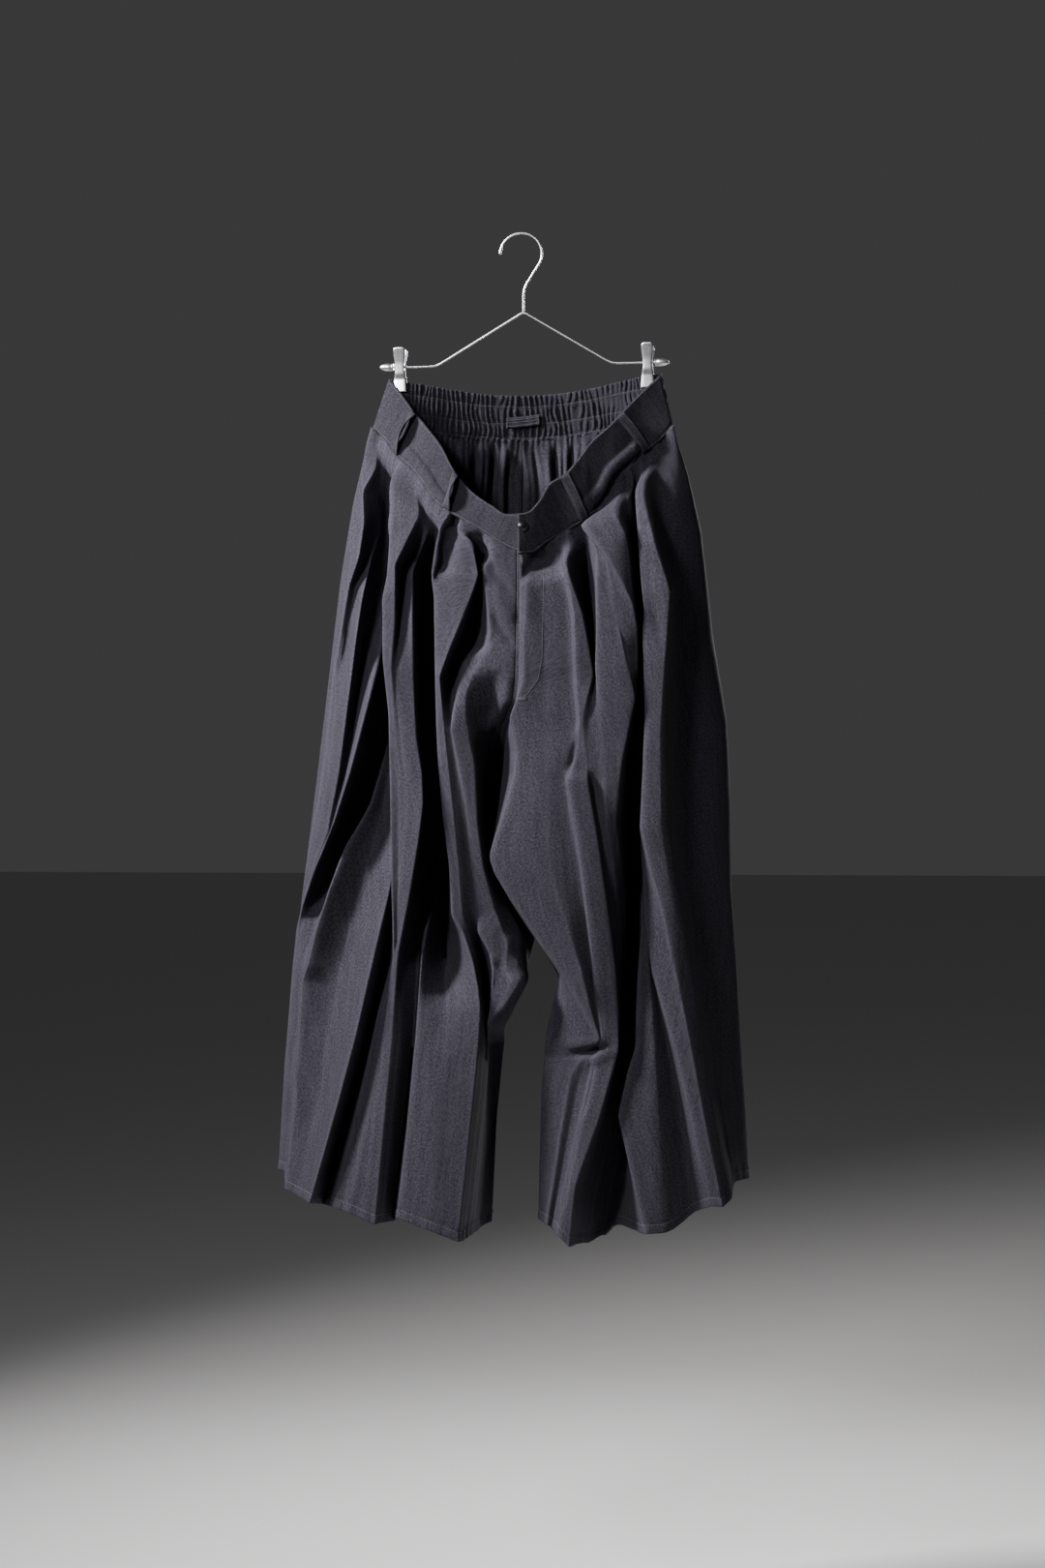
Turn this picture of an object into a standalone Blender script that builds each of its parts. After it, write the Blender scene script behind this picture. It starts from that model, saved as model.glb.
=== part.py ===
"""Hakama trousers on a clip hanger, in metres with +Z up.

The origin is the seat of the hook, where the hanger rests on a rail. The hanger's bar runs along X,
the front of the trousers faces -Y, and the cloth hangs towards -Z.
"""

from math import cos, pi, radians, sin

import bpy
from mathutils import Matrix, Vector

MM = 0.001

# The folds are set out on squared paper, as an eye level with the knees sees them. A place on the sheet is
# (row, column, depth): rows run down, columns run to the right, and depth is in mm behind the hook.
SQUARE = 0.0011                 # one square of the sheet, at the hanger
HOOK_ROW = 242
HOOK_COLUMN = 541
EYE_ROW = 810
EYE_DISTANCE = 3.465
SHEET_TURN = radians(8.0)       # the sheet is turned this far from the hanger's bar

CLOTH = 1.8 * MM                # wall of the leg panels
BAND_WALL = 2.6 * MM            # wall of the folded, stiffened waistband
ELASTIC_WALL = 2.0 * MM
MITRE_LIMIT = 2.2               # a fold's edge stands out no further than this times half the wall
GAP = 0.3 * MM                  # between pieces that touch
LAND = 6.0 * MM                 # flat margin of each panel beside a seam

GATHERS = 58                    # gathers along the elastic
GATHER_SWELL = 0.7 * MM
LOOP_WALL = 1.6 * MM

LOOP_WIDTH = 11.5 * MM
LOOP_SEAT = 0.7 * MM            # a loop's sewn ends stand this far off the band
LOOP_ROWS = 8
TAPE_HALF = 5.7                 # half the tape's length, in half gathers
TAPE_STEPS = 8
TAPE_TILT = 0.08                # its right end stands higher
TAPE_LIFT = 3.0 * MM

WIRE = 2.4 * MM
BAR_DROP = 148.5 * MM
BAR_REACH = 150.0 * MM          # from the hook's stem to the inner end of a cap
CAP_LENGTH = 16.0 * MM
CAP_RADIUS = 4.4 * MM
HOOK_RADIUS = 24.0 * MM
APEX_DROP = 89.0 * MM
CLIP_PLACE = 142.0 * MM
CLIP_PLATE = 1.2 * MM
BUTTON_RADIUS = 5.8 * MM
BUTTON_S = 0.955                # place of the snap along the right band
BUTTON_LEVEL = 0.32             # and down it

# Belt loops: side, place along the band at its top and its lower edge, how far it stands off in mm
BELT_LOOPS = (
    ("left", 0.20, 0.185, 8.0),
    ("left", 0.51, 0.56, 7.0),
    ("right", 0.58, 0.62, 2.0),
    ("right", 0.24, 0.20, 2.0),
)

# Side view of a clip's arm: drop in mm, distance from the bar in mm, half width in mm
CLIP_ARM = ((126.5, 9.2, 3.2), (127.6, 9.4, 5.6), (129.5, 9.0, 6.9), (137.0, 7.4, 6.5), (145.0, 6.0, 5.4),
            (150.0, 5.6, 5.2), (156.0, 5.2, 5.6), (163.0, 3.4, 6.8), (171.0, 3.3, 7.6), (177.5, 3.3, 8.0))
JAW_DROP = 163.0                # from here down the jaws follow the lean of the elastic
JAW_LEAN = {"left": -0.14, "right": 0.03}

# Nominal rows of the leg panels, from the waistband to the hem. A seam bends only at SEAM_ROWS.
FRONT_ROWS = (520, 536, 552, 570, 595, 620, 648, 680, 710, 740, 770, 800, 835, 870, 900, 915, 930, 950, 968,
              988, 1010, 1040, 1070, 1100, 1170, 1250)
SEAM_ROWS = (520, 570, 620, 740, 835, 930, 968, 1010, 1070, 1170, 1250)
BACK_ROWS = (520, 532, 545, 570, 620, 740, 835, 930, 968, 1010, 1070, 1170, 1250)
ELASTIC_LEVELS = ((0.0, 1.0), (0.27, 0.3), (0.52, 1.0), (0.73, 0.3), (1.0, 0.9))
BAND_MARGIN = 0.006             # a band ends this short of the side seam, as a share of its length
STATION_STEP = 0.012            # the shortest straight part of a band
TOP_FADE = 0.30                 # the waist's slant has gone this far down the panel
HEM_FADE = 0.80                 # the hem's slant starts here
CROTCH_ROW = 968
CROTCH_EASE = 45                # rows above and below the crotch in which the seams turn
CROTCH_RELIEF = 1.8 * MM

# Waistband: a row for each station from the side seam to the closure.
# top edge (row, column, depth), lower edge (row, column, depth)
BAND_LEFT = (
    ((391, 402, 17), (444, 384, 8)),
    ((404, 413, 6), (455, 397, -7)),
    ((426, 429, -8), (472, 410, -20)),
    ((443, 443, -22), (486, 426, -34)),
    ((460, 456, -34), (500, 437, -46)),
    ((486, 470, -46), (519, 450, -58)),
    ((508, 488, -56), (533, 470, -68)),
    ((522, 508, -64), (550, 500, -78)),
    ((531, 524, -68), (563, 520, -84)),
    ((530, 541, -68), (571, 541, -86)),
    ((524, 556, -64), (566, 560, -84)),
)
BAND_RIGHT = (
    ((386, 684, -26), (440, 696, -32)),
    ((403, 665, -36), (455, 684, -48)),
    ((421, 647, -44), (467, 668, -60)),
    ((440, 629, -50), (479, 654, -68)),
    ((457, 610, -56), (496, 636, -76)),
    ((473, 598, -60), (520, 624, -84)),
    ((489, 584, -66), (536, 608, -90)),
    ((500, 567, -70), (549, 588, -94)),
    ((517, 557, -74), (561, 566, -94)),
    ((529, 545, -76), (572, 549, -92)),
    ((531, 535, -75), (573, 535, -91)),
)
# Elastic waistband at the back: top edge, lower edge, from the left side seam to the right one.
BAND_BACK = (
    ((391, 401, 21.3), (444, 383, 12)),
    ((395, 421, 18.6), (447, 412, 13)),
    ((399, 446, 21), (449, 443, 22)),
    ((404, 475, 24), (453, 474, 32)),
    ((408, 505, 24), (455, 505, 36)),
    ((409, 541, 22), (456, 541, 36)),
    ((407, 575, 16), (454, 577, 30)),
    ((402, 608, 5), (449, 611, 18)),
    ((395, 638, -8), (444, 644, 2)),
    ((389, 664, -19), (441, 675, -18)),
    ((386, 685, -22.2), (440, 697, -26)),
)

# A row for each fold of a front, from the side seam (or the centre) on.
# name, column of its seat on the waistband, then (row, column, depth) down to the hem
FOLDS_LEFT = (
    ("side_seam", 384, ((520, 366, 8), (600, 353, 6), (700, 341, 6), (800, 329, 8), (880, 319, 18),
                        (935, 315, 45), (1000, 313, 62), (1100, 306, 72), (1209, 299, 76))),
    ("outer_rim", 393, ((484, 388, -12), (508, 375, -22), (540, 376, -32), (575, 371, -36), (605, 361, -30),
                        (700, 345, -22), (800, 334, -14), (900, 316, 6), (960, 309, 38), (1100, 299, 56),
                        (1208, 292, 60))),
    ("outer_dip", 397, ((505, 391, -4), (545, 388, -8), (578, 378, -14), (605, 367, -22), (650, 358, -24),
                        (700, 350, -24), (800, 340, -26), (900, 319, 0), (960, 308, 28), (1100, 297, 44),
                        (1208, 290, 48))),
    ("outer_cone", 400, ((515, 394, 2), (550, 393, 0), (575, 384, -16), (620, 374, -42), (660, 368, -48),
                         (700, 363, -50), (800, 350, -46), (860, 338, -32), (900, 322, -12), (960, 307, 20),
                         (1100, 296, 36), (1208, 289, 40))),
    ("outer_tuck", 402, ((525, 398, 10), (580, 389, 4), (640, 379, -12), (700, 372, -24), (760, 364, -34),
                         (800, 356, -38), (860, 341, -32), (900, 324, -16), (960, 307, 14), (1100, 295, 28),
                         (1208, 288, 32))),
    ("first_ridge", 404, ((530, 402, 14), (600, 396, 8), (655, 397, -22), (700, 387, -50), (740, 377, -62),
                          (800, 361, -68), (850, 345, -62), (900, 325, -42), (935, 313, -18), (960, 308, 6),
                          (1100, 295, 20), (1208, 288, 24))),
    ("first_hollow", 406, ((535, 405, 14), (620, 402, 14), (700, 394, 6), (780, 379, 0), (840, 361, -4),
                           (880, 342, -8), (920, 326, -9), (940, 321, -9), (960, 313, -6), (1000, 306, 2),
                           (1100, 297, 10), (1208, 291, 12))),
    ("first_floor", 407, ((540, 408, 12), (620, 408, 14), (700, 402, 12), (780, 391, 8), (840, 374, 4),
                          (880, 355, 0), (920, 338, -8), (960, 325, -14), (1000, 314, -14), (1060, 309, -8),
                          (1112, 302, -2), (1210, 294, 2))),
    ("second_edge", 408, ((545, 411, 6), (620, 413, 12), (740, 405, 4), (780, 398, -18), (830, 384, -36),
                          (876, 357, -46), (915, 342, -52), (960, 327, -50), (998, 318, -42),
                          (1015, 312, -32), (1060, 310, -28), (1112, 304, -28), (1228, 295, -24))),
    ("second_dip", 409, ((545, 413, -2), (620, 415, 2), (740, 410, -8), (800, 401, -20), (850, 393, -30),
                         (900, 377, -38), (960, 360, -42), (1010, 350, -40), (1080, 338, -40),
                         (1140, 329, -42), (1236, 309, -44))),
    ("second_ridge", 411, ((545, 414, -12), (620, 414, -10), (740, 411, -18), (820, 407, -34),
                           (870, 405, -52), (912, 404, -66), (960, 393, -80), (1020, 379, -86),
                           (1073, 367, -88), (1155, 345, -86), (1243, 320, -82))),
    ("second_hollow", 412, ((545, 412, -24), (620, 410, -28), (740, 410, -34), (860, 411, -40),
                            (912, 409, -40), (960, 405, -34), (1000, 400, -28), (1047, 389, -26),
                            (1100, 375, -24), (1150, 360, -22), (1244, 334, -22))),
    ("third_edge", 415, ((487, 403, -38), (552, 403, -58), (595, 400, -66), (620, 395, -70), (682, 396, -76),
                         (738, 402, -80), (834, 404, -86), (912, 405, -88), (972, 407, -82), (990, 406, -74),
                         (1047, 391, -68), (1129, 373, -70), (1247, 344, -74))),
    ("third_rim", 435, ((534, 432, -64), (563, 418, -70), (584, 408, -72), (640, 408, -76), (691, 404, -80),
                        (800, 412, -86), (912, 412, -88), (985, 408, -78), (1047, 396, -74),
                        (1129, 384, -78), (1252, 358, -82))),
    ("third_dip", 441, ((540, 440, -57), (563, 430, -42), (590, 417, -40), (620, 413, -52), (650, 411, -64),
                        (691, 408, -77), (800, 418, -88), (912, 416, -92), (985, 410, -79), (1047, 400, -78),
                        (1129, 390, -84), (1258, 372, -88))),
    ("third_ridge", 445, ((546, 443, -54), (578, 431, -36), (592, 426, -48), (640, 426, -66),
                          (700, 427, -76), (760, 430, -86), (800, 436, -94), (830, 437, -99),
                          (863, 433, -100), (895, 428, -99), (930, 422, -95), (965, 415, -88),
                          (988, 411, -80), (1068, 405, -82), (1155, 397, -92), (1265, 387, -96))),
    ("third_step", 449, ((550, 446, -50), (572, 442, -26), (590, 437, -16), (640, 436, -4), (700, 438, 0),
                         (800, 442, 2), (860, 438, -14), (915, 428, -38), (940, 424, -52), (988, 416, -66),
                         (1030, 414, -72), (1073, 413, -78), (1166, 404, -84), (1263, 394, -88))),
    ("third_hollow", 452, ((553, 449, -46), (574, 447, -16), (592, 443, -4), (640, 444, 10), (700, 446, 14),
                           (800, 450, 16), (860, 449, 8), (915, 440, -22), (940, 436, -42), (988, 434, -52),
                           (1073, 428, -58), (1166, 419, -62), (1261, 407, -66))),
    ("fourth_edge", 455, ((555, 452, -46), (576, 451, -14), (592, 450, -2), (640, 451, 14), (700, 453, 18),
                          (800, 458, 20), (880, 458, 6), (920, 451, -22), (940, 446, -48), (965, 440, -70),
                          (988, 436, -80), (1030, 433, -86), (1073, 430, -90), (1166, 421, -94),
                          (1258, 410, -96))),
    ("fourth_hollow", 458, ((557, 455, -50), (578, 454, -24), (592, 454, -12), (640, 456, 4), (700, 458, 8),
                            (800, 463, 12), (880, 466, 8), (945, 462, -6), (990, 461, -34), (1020, 460, -66),
                            (1045, 461, -88), (1090, 460, -98), (1166, 452, -103), (1270, 440, -108))),
    ("fourth_ridge", 466, ((545, 457, -60), (562, 448, -65), (591, 445, -68), (621, 449, -72),
                           (710, 450, -78), (776, 452, -82), (834, 457, -86), (891, 464, -90),
                           (945, 468, -92), (965, 479, -95), (995, 489, -99), (1021, 494, -103),
                           (1042, 496, -106), (1080, 494, -109), (1123, 490, -112), (1283, 473, -118))),
    ("inner_rim", 476, ((558, 479, -78), (595, 490, -88), (620, 483, -90), (650, 472, -90), (682, 461, -88),
                        (708, 457, -86), (752, 459, -87), (834, 468, -90), (900, 474, -92), (945, 478, -92),
                        (985, 490, -90), (1042, 501, -84), (1123, 496, -88), (1282, 478, -98))),
    ("inner_hollow", 488, ((565, 492, -56), (600, 494, -42), (650, 487, -38), (690, 470, -46),
                           (720, 466, -66), (752, 466, -86), (834, 479, -87), (900, 486, -86),
                           (945, 490, -82), (985, 500, -62), (1042, 506, -46), (1123, 501, -60),
                           (1278, 483, -78))),
    ("inner_edge", 500, ((565, 509, -84), (590, 502, -85), (620, 506, -86), (655, 507, -87), (672, 499, -87),
                         (686, 483, -88), (715, 473, -90), (752, 468, -92), (790, 474, -90), (834, 483, -89),
                         (900, 490, -86), (945, 495, -80), (985, 510, -60), (1042, 511, -26),
                         (1123, 505, -34), (1274, 488, -52))),
    ("inner_strip", 508, ((600, 512, -90), (655, 514, -91), (690, 494, -84), (720, 482, -84),
                          (760, 484, -90), (790, 490, -92), (850, 493, -90), (895, 499, -88),
                          (940, 514, -78), (975, 527, -68), (1010, 530, -60), (1042, 519, -22),
                          (1123, 511, -14), (1270, 497, -24))),
    ("inner_swell", 520, ((600, 523, -93), (655, 523, -94), (695, 512, -84), (730, 508, -66),
                          (755, 503, -60), (800, 502, -34), (850, 502, -26), (895, 507, -30),
                          (930, 521, -42), (968, 539, -44), (1010, 536, -34), (1060, 521, -8),
                          (1155, 514, 6), (1265, 504, 4))),
    ("centre_seam", 534, ((600, 534, -92), (660, 533, -93), (700, 532, -92), (725, 529, -84),
                          (748, 519, -56), (775, 514, -26), (850, 510, 0), (895, 513, 0), (940, 536, -8),
                          (968, 553, -6), (1010, 541, 6), (1050, 524, 16), (1155, 513, 32),
                          (1261, 508, 36))),
)
FOLDS_RIGHT = (
    ("centre_seam", 534, ((600, 534, -92), (660, 533, -93), (700, 532, -92), (725, 529, -84),
                          (748, 519, -56), (775, 514, -26), (850, 510, 0), (895, 513, 0), (940, 536, -8),
                          (968, 553, -6), (1010, 578, 4), (1060, 570, 14), (1125, 565, 24),
                          (1259, 562, 34))),
    ("inner_edge", 539, ((600, 538, -97), (700, 537, -98), (725, 533, -92), (760, 524, -58), (800, 520, -44),
                         (850, 512, -44), (890, 508, -56), (930, 527, -60), (971, 554, -58),
                         (1007, 579, -68), (1040, 571, -74), (1081, 564, -77), (1125, 560, -79),
                         (1190, 558, -81), (1259, 557, -84))),
    ("crotch_fold", 545, ((600, 544, -100), (700, 541, -102), (723, 534, -101), (742, 527, -100),
                          (776, 534, -98), (800, 532, -98), (849, 518, -100), (884, 506, -100),
                          (902, 511, -101), (971, 556, -104), (1007, 581, -107), (1040, 597, -110),
                          (1066, 606, -106), (1084, 600, -98), (1110, 587, -95), (1265, 565, -98))),
    ("belly", 562, ((600, 562, -106), (700, 564, -112), (780, 564, -116), (850, 558, -119), (900, 558, -121),
                    (960, 580, -119), (1020, 602, -117), (1058, 611, -111), (1084, 607, -97),
                    (1120, 597, -93), (1268, 570, -96))),
    ("first_dip", 576, ((590, 579, -98), (635, 585, -94), (711, 588, -92), (745, 590, -98), (770, 588, -106),
                        (803, 582, -102), (850, 585, -92), (891, 592, -87), (950, 601, -86), (998, 609, -88),
                        (1050, 614, -92), (1070, 615, -94), (1095, 609, -90), (1166, 594, -90),
                        (1272, 573, -92))),
    ("strip_left", 580, ((583, 584, -110), (635, 593, -112), (711, 596, -114), (750, 599, -115),
                         (775, 594, -115), (803, 587, -113), (891, 601, -112), (998, 613, -112),
                         (1050, 618, -112), (1070, 620, -110), (1090, 616, -101), (1166, 599, -99),
                         (1276, 576, -101))),
    ("strip_right", 585, ((587, 588, -110), (635, 601, -113), (689, 612, -113), (720, 610, -113),
                          (760, 606, -115), (794, 606, -115), (872, 618, -113), (998, 635, -109),
                          (1045, 638, -108), (1083, 635, -109), (1105, 632, -109), (1155, 619, -111),
                          (1227, 594, -113), (1288, 588, -115))),
    ("second_hollow", 600, ((560, 605, -64), (620, 609, -52), (670, 613, -62), (700, 614, -92),
                            (760, 611, -106), (794, 612, -102), (872, 621, -92), (940, 632, -80),
                            (998, 637, -72), (1045, 641, -60), (1083, 638, -52), (1105, 636, -48),
                            (1155, 628, -42), (1227, 610, -34), (1284, 602, -34))),
    ("second_edge", 610, ((561, 617, -84), (635, 617, -94), (690, 615, -105), (720, 617, -109),
                          (780, 621, -113), (850, 626, -109), (900, 634, -97), (960, 641, -64),
                          (1045, 643, -38), (1105, 640, -32), (1155, 633, -28), (1227, 616, -22),
                          (1284, 608, -20))),
    ("second_crest", 620, ((572, 625, -98), (624, 633, -104), (670, 644, -107), (715, 654, -105),
                           (740, 650, -105), (790, 641, -106), (850, 636, -98), (900, 642, -80),
                           (960, 647, -47), (1045, 646, -24), (1105, 643, -20), (1160, 638, -18),
                           (1227, 624, -14), (1280, 615, -14))),
    ("second_sliver", 627, ((580, 630, -86), (629, 653, -95), (648, 658, -96), (690, 659, -92),
                            (717, 657, -88), (760, 651, -66), (850, 645, -46), (900, 646, -42),
                            (960, 648, -26), (1000, 649, -18), (1045, 649, -12), (1105, 645, -10),
                            (1160, 641, -12), (1227, 632, -14), (1276, 622, -18))),
    ("groove", 640, ((560, 646, -36), (650, 664, -30), (720, 663, -20), (800, 656, -12), (900, 655, -8),
                     (1000, 655, -2), (1100, 652, -2), (1160, 648, -10), (1209, 642, -24),
                     (1268, 632, -30))),
    ("third_edge", 648, ((560, 655, -26), (650, 668, -22), (720, 668, -14), (800, 662, -10), (870, 661, -22),
                         (920, 663, -48), (960, 664, -70), (1004, 660, -82), (1040, 658, -90),
                         (1081, 657, -96), (1107, 649, -99), (1153, 639, -101), (1188, 647, -105),
                         (1275, 668, -111))),
    ("third_swell", 651, ((560, 659, -24), (650, 673, -26), (720, 673, -20), (800, 668, -20),
                          (870, 665, -38), (920, 667, -62), (960, 668, -80), (1004, 671, -92),
                          (1050, 676, -105), (1100, 681, -109), (1160, 685, -111), (1273, 689, -113))),
    ("third_dip", 653, ((560, 663, -30), (650, 676, -36), (720, 675, -34), (800, 671, -34), (870, 667, -50),
                        (920, 669, -70), (960, 671, -84), (1004, 676, -88), (1050, 690, -84),
                        (1100, 703, -76), (1160, 718, -70), (1252, 728, -66))),
    ("fourth_edge", 655, ((560, 664, -44), (650, 674, -54), (720, 673, -56), (800, 669, -60),
                          (855, 662, -70), (900, 664, -82), (950, 667, -90), (1004, 674, -96),
                          (1045, 686, -98), (1089, 699, -98), (1165, 717, -96), (1246, 735, -92))),
    ("fourth_ridge", 659, ((530, 659, -66), (561, 660, -80), (631, 666, -86), (657, 665, -86),
                           (725, 668, -92), (790, 665, -96), (855, 662, -100), (891, 671, -104),
                           (940, 685, -106), (998, 697, -108), (1066, 711, -108), (1165, 730, -106),
                           (1247, 747, -102))),
    ("fourth_turn", 668, ((530, 667, -74), (560, 676, -90), (605, 690, -95), (680, 686, -98),
                          (760, 682, -101), (850, 683, -103), (900, 690, -100), (960, 702, -98),
                          (1066, 722, -96), (1165, 741, -94), (1240, 754, -92))),
    ("side_dip", 678, ((530, 684, -58), (600, 699, -64), (700, 698, -68), (850, 704, -70), (940, 711, -70),
                       (1060, 731, -66), (1222, 759, -62))),
    ("side_swell", 687, ((520, 701, -50), (600, 716, -46), (700, 731, -44), (820, 737, -42), (940, 735, -40),
                         (1112, 754, -34), (1219, 766, -32))),
    ("side_seam", 695, ((494, 711, -24), (550, 724, -14), (657, 736, -8), (744, 750, -4), (827, 754, 0),
                        (914, 755, 2), (985, 760, 4), (1216, 773, 6))),
)

# Backs: the sweep between the seams. A row for each height: nominal row, bulge behind the chord in mm,
# depth of the soft folds in mm
BACK_SWELL = ((520, 6, 1.0), (620, 20, 5.0), (740, 34, 11.0), (870, 44, 15.0), (1040, 44, 17.0),
              (1250, 42, 18.0))
BACK_FOLDS = 5.5                # soft folds across each back
BACK_EASE = 0.55                # beyond this share of a back its cloth follows the centre seam and the inseam
BACK_CENTRE = ((456, 541, 37), (560, 541, 52), (700, 541, 60), (820, 544, 52), (900, 548, 34), (940, 551, 14),
               (968, 553, -6), (1250, 553, -6))

CHARCOAL = (0.035, 0.033, 0.038, 1.0)
CHARCOAL_DARK = (0.024, 0.023, 0.027, 1.0)
STEEL = (0.62, 0.62, 0.64, 1.0)
GUNMETAL = (0.05, 0.05, 0.055, 1.0)


# ---------------------------------------------------------------- setting out

def place(row, column, depth):
    """The point in space that a place on the sheet stands for."""
    back = depth * MM
    reach = 1.0 + back / EYE_DISTANCE
    side = (column - HOOK_COLUMN) * SQUARE * reach
    rise = (HOOK_ROW - EYE_ROW) * SQUARE + (EYE_ROW - row) * SQUARE * reach
    turn_x = side * cos(SHEET_TURN) - back * sin(SHEET_TURN)
    turn_y = side * sin(SHEET_TURN) + back * cos(SHEET_TURN)
    return Vector((turn_x, turn_y, rise))


def sheet_direction(angle):
    """A level direction on the sheet: 0 runs to the right, 90 degrees runs away from the eye."""
    return Vector((cos(angle + SHEET_TURN), sin(angle + SHEET_TURN), 0.0))


def slopes(xs, ys):
    """Slopes at the knots of a curve that never overshoots its points."""
    steps = [(ys[i + 1] - ys[i]) / (xs[i + 1] - xs[i]) for i in range(len(xs) - 1)]
    tangents = [steps[0]]
    for before, after in zip(steps, steps[1:]):
        tangents.append(0.0 if before * after <= 0 else 2 * before * after / (before + after))
    tangents.append(steps[-1])
    return tangents


def smooth_at(xs, ys, x):
    """The value at x of the smooth curve through the points (xs, ys)."""
    if x <= xs[0]:
        return ys[0]
    if x >= xs[-1]:
        return ys[-1]
    i = max(k for k in range(len(xs) - 1) if xs[k] <= x)
    tangents = slopes(xs, ys)
    width = xs[i + 1] - xs[i]
    t = (x - xs[i]) / width
    return ((1 + 2 * t) * (1 - t) ** 2 * ys[i] + t * (1 - t) ** 2 * width * tangents[i]
            + t * t * (3 - 2 * t) * ys[i + 1] + t * t * (t - 1) * width * tangents[i + 1])


def ease(t):
    t = min(max(t, 0.0), 1.0)
    return t * t * (3 - 2 * t)


def station(band, s, edge):
    """A place on a waistband's edge: s runs from 0 to 1 along the band, edge is 0 for the top, 1 below."""
    knots = [i / (len(band) - 1) for i in range(len(band))]
    return tuple(smooth_at(knots, [row[edge][k] for row in band], s) for k in range(3))


def station_of_column(band, column):
    """How far along the band its lower edge crosses a column of the sheet."""
    low, high = 0.0, 1.0
    rising = band[-1][1][1] > band[0][1][1]
    for _ in range(40):
        middle = (low + high) / 2
        if (station(band, middle, 1)[1] < column) == rising:
            low = middle
        else:
            high = middle
    return (low + high) / 2


def slanted_row(nominal, top_row, hem_row):
    """The row on the sheet for a nominal row, on a fold that starts and ends at rows of its own."""
    share = (nominal - FRONT_ROWS[0]) / (FRONT_ROWS[-1] - FRONT_ROWS[0])
    top_part = (top_row - FRONT_ROWS[0]) * (1 - ease(share / TOP_FADE))
    hem_part = (hem_row - FRONT_ROWS[-1]) * ease((share - HEM_FADE) / (1 - HEM_FADE))
    return nominal + top_part + hem_part


def curve_point(seat, points, nominal):
    """The point at a nominal row on a fold that runs from its seat through its points."""
    knots = [seat] + list(points)
    rows = [p[0] for p in knots]
    row = slanted_row(nominal, rows[0], rows[-1])
    column = smooth_at(rows, [p[1] for p in knots], row)
    depth = smooth_at(rows, [p[2] for p in knots], row)
    return place(row, column, depth)


def seam_point(seat, points, nominal):
    """As curve_point, but straight between the seam rows, so that two panels share the seam."""
    after = next(i for i, r in enumerate(SEAM_ROWS) if r >= nominal)
    if SEAM_ROWS[after] == nominal:
        return curve_point(seat, points, nominal)
    start, end = SEAM_ROWS[after - 1], SEAM_ROWS[after]
    a = curve_point(seat, points, start)
    b = curve_point(seat, points, end)
    return a.lerp(b, (nominal - start) / (end - start))


# ---------------------------------------------------------------- making objects

def new_material(name, colour, roughness, metallic=0.0):
    material = bpy.data.materials.new(name)
    material.use_nodes = True
    shader = material.node_tree.nodes["Principled BSDF"]
    shader.inputs["Base Color"].default_value = colour
    shader.inputs["Roughness"].default_value = roughness
    shader.inputs["Metallic"].default_value = metallic
    return material


def add_object(name, data, look):
    part = bpy.data.objects.new(name, data)
    PARTS.objects.link(part)
    data.materials.append(new_material(name, *look))
    return part


def sheet_mesh(name, rows):
    """An open surface through rows of points."""
    width = len(rows[0])
    points = [p for row in rows for p in row]
    faces = []
    for r in range(len(rows) - 1):
        for c in range(width - 1):
            a = r * width + c
            faces.append((a, a + width, a + width + 1, a + 1))
    mesh = bpy.data.meshes.new(name)
    mesh.from_pydata([tuple(p) for p in points], [], faces)
    mesh.update()
    return mesh


def wall_offsets(mesh, width, thickness):
    """How far each point of the middle surface moves to reach the wall's face; corners keep their mitre."""
    leans = [[] for _ in mesh.vertices]
    for face in mesh.polygons:
        for v in face.vertices:
            leans[v].append(face.normal.dot(mesh.vertices[v].normal))
    last = len(mesh.vertices) - width
    offsets = []
    for v, vertex in enumerate(mesh.vertices):
        mitre = min(MITRE_LIMIT, 1 / max(sum(leans[v]) / len(leans[v]), 0.1))
        normal = vertex.normal.copy()
        rims = ((v % width == 0, 1), (v % width == width - 1, -1), (v < width, width), (v >= last, -width))
        for on_rim, step in rims:
            if on_rim:
                along = (mesh.vertices[v + step].co - vertex.co).normalized()
                normal -= normal.dot(along) * along
        offsets.append(normal.normalized() * (thickness / 2 * mitre))
    return offsets


def square(a, b, c, d, cut_from_a):
    """A four-sided face as two triangles, cut from a to c or from b to d."""
    if cut_from_a:
        return [(a, b, c), (a, c, d)]
    return [(a, b, d), (b, c, d)]


def add_wall(name, rows, thickness, look):
    """A closed wall centred on a surface: one ring of points for each row, lofted into the next.

    Both faces of the cloth are cut along the same diagonal, the shorter one, so that they stay parallel.
    """
    middle = sheet_mesh(name + "_middle", rows)
    width = len(rows[0])
    offsets = wall_offsets(middle, width, thickness)
    points = []
    for r, row in enumerate(rows):
        shifts = offsets[r * width:(r + 1) * width]
        points += [p + shift for p, shift in zip(row, shifts)]
        points += [p - shift for p, shift in zip(row[::-1], shifts[::-1])]
    bpy.data.meshes.remove(middle)
    ring = 2 * width
    faces = []
    for r in range(len(rows) - 1):
        for c in range(ring):
            a, b = r * ring + c, r * ring + (c + 1) % ring
            k = min(c, ring - 2 - c)
            if k < 0 or c == width - 1:
                faces += square(a, a + ring, b + ring, b, True)
                continue
            falls = (rows[r + 1][k + 1] - rows[r][k]).length <= (rows[r + 1][k] - rows[r][k + 1]).length
            faces += square(a, a + ring, b + ring, b, falls == (c < width))
    last = (len(rows) - 1) * ring
    for c in range(width - 1):
        faces.append((c, c + 1, ring - 2 - c, ring - 1 - c))
        faces.append((last + ring - 1 - c, last + ring - 2 - c, last + c + 1, last + c))
    mesh = bpy.data.meshes.new(name)
    mesh.from_pydata([tuple(p) for p in points], [], faces)
    mesh.update()
    return add_object(name, mesh, look)


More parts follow.
